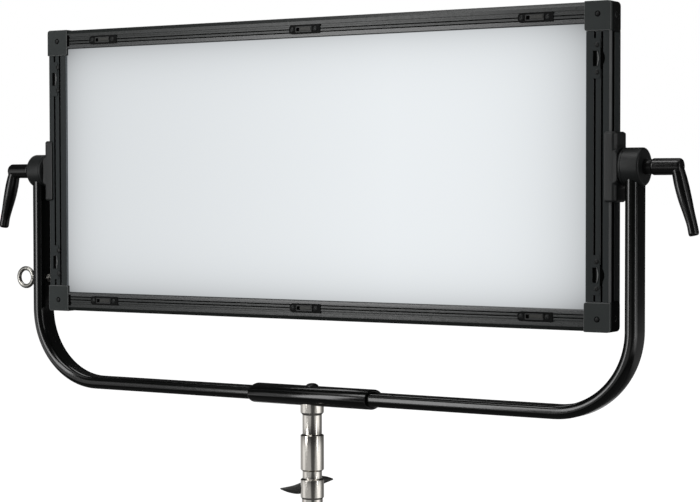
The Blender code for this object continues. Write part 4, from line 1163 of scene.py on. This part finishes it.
def surroundings():
    """White to the camera and dim to the lighting. Low down, gloss also sees the pale table round it."""
    world = bpy.data.worlds.new("studio")
    world.use_nodes = True
    bpy.context.scene.world = world
    tree = world.node_tree
    shade = tree.nodes["Background"]
    path = add_node(tree, "ShaderNodeLightPath")
    ray = add_node(tree, "ShaderNodeTexCoord").outputs["Generated"]
    split = add_node(tree, "ShaderNodeSeparateXYZ")
    tree.links.new(ray, split.inputs[0])
    height = split.outputs[2]
    table = times(ramp(height, -0.05, -0.09), ramp(height, -0.42, -0.32))
    dark_front = ramp(toward(ray, 39), 0.89, 0.955)
    left = times(ramp(toward(ray, -58), 0.90, 1.0), 0.6)
    right = ramp(toward(ray, 100), 0.86, 1.0)
    back = times(ramp(toward(ray, 165), 0.80, 0.95), 0.3)
    glow = plus(plus(plus(0.45, left), right), times(back, -1))
    glow = times(glow, calculate("SUBTRACT", 1.0, times(dark_front, 0.88)))
    mirrored = plus(0.022, times(glow, table))
    mirrored = plus(mirrored, times(ramp(height, 0.78, 0.9), 0.6))
    mirrored = plus(mirrored, times(ramp(height, -0.5, -0.65), 0.05))
    level = plus(0.22, times(path.outputs["Is Camera Ray"], 0.78))
    level = times(level, calculate("SUBTRACT", 1.0, path.outputs["Is Glossy Ray"]))
    level = plus(level, times(mirrored, path.outputs["Is Glossy Ray"]))
    tree.links.new(level, shade.inputs["Strength"])
    fill(shade, Color=(1, 1, 1, 1))


def ramp(value, start, end):
    """A smooth step from 0 at the start to 1 at the end."""
    tree = value.id_data
    node = add_node(tree, "ShaderNodeMapRange", interpolation_type="SMOOTHSTEP")
    fill(node, From_Min=start, From_Max=end)
    tree.links.new(value, node.inputs["Value"])
    return node.outputs[0]


def toward(ray, degrees):
    """How closely a ray points along a compass direction, counted from the front to the right."""
    angle = math.radians(degrees)
    tree = ray.id_data
    node = add_node(tree, "ShaderNodeVectorMath", operation="DOT_PRODUCT")
    node.inputs[1].default_value = (math.sin(angle), -math.cos(angle), 0)
    tree.links.new(ray, node.inputs[0])
    return node.outputs["Value"]


def studio_floor():
    shape = bmesh.new()
    bmesh.ops.create_circle(shape, cap_ends=True, segments=96, radius=40)
    disc = loose_object(shape, "studio_floor")
    made, tree, shader = node_tree("floor_paper")
    place = place_on(tree)
    path = add_node(tree, "ShaderNodeLightPath")
    grain = between(noise(place, 60, 3), 0.985, 1.0)
    level = plus(0.3, times(path.outputs["Is Camera Ray"], 0.72))
    level = times(grain, level)
    tree.links.new(level, shader.inputs["Emission Strength"])
    fill(shader, Emission_Color=(1, 1, 1, 1), Base_Color=(0.06, 0.06, 0.06, 1))
    fill(shader, Roughness=1.0, Specular_IOR_Level=0.0)
    disc.data.materials.append(made)
    disc.visible_glossy = False


def lights():
    softbox("front_key", (-0.75, -1.4, 0.85), (-0.1, 0, 0.5), 0.58, 1.8, 4.9)
    softbox("front_soft", (0.3, -2.8, 0.9), (0, 0, 0.4), 1.4, 1.2, 1.3, gloss=False)
    softbox("left_fill", (-1.45, -1.3, 0.55), (-0.2, 0, 0.35), 0.6, 1.0, 0.7)
    softbox("right_strip", (2.0, 0.42, 0.7), (0, 0, 0.45), 0.7, 1.5, 0.4)
    softbox("right_edge", (2.1, -0.26, 0.6), (0, 0, 0.4), 0.3, 1.5, 2.9)
    softbox("top_back", (-1.0, 0.95, 1.6), (0, 0, 0.35), 0.8, 0.5, 1.8)
    softbox("top_strip", (-0.15, -0.4, 1.75), (0.2, 0, 0.4), 0.9, 0.35, 3.4)
    softbox("rear_fill", (0.3, 2.4, 1.3), (0, 0, 0.35), 1.6, 1.2, 8.0, gloss=False)


rails()
corner_caps()
front_catches()
side_catches()
diffuser()
rear_cover()
control_housing()
control_plate()
display()
knob_and_keys()
rocker_switch()
sockets()
brackets()
hubs()
tubes()
sleeve()
spigot()
wing_screw()
safety_eye()
levers()
inner_nodes()
camera()
surroundings()
studio_floor()
lights()
bpy.context.scene.view_settings.view_transform = "Standard"
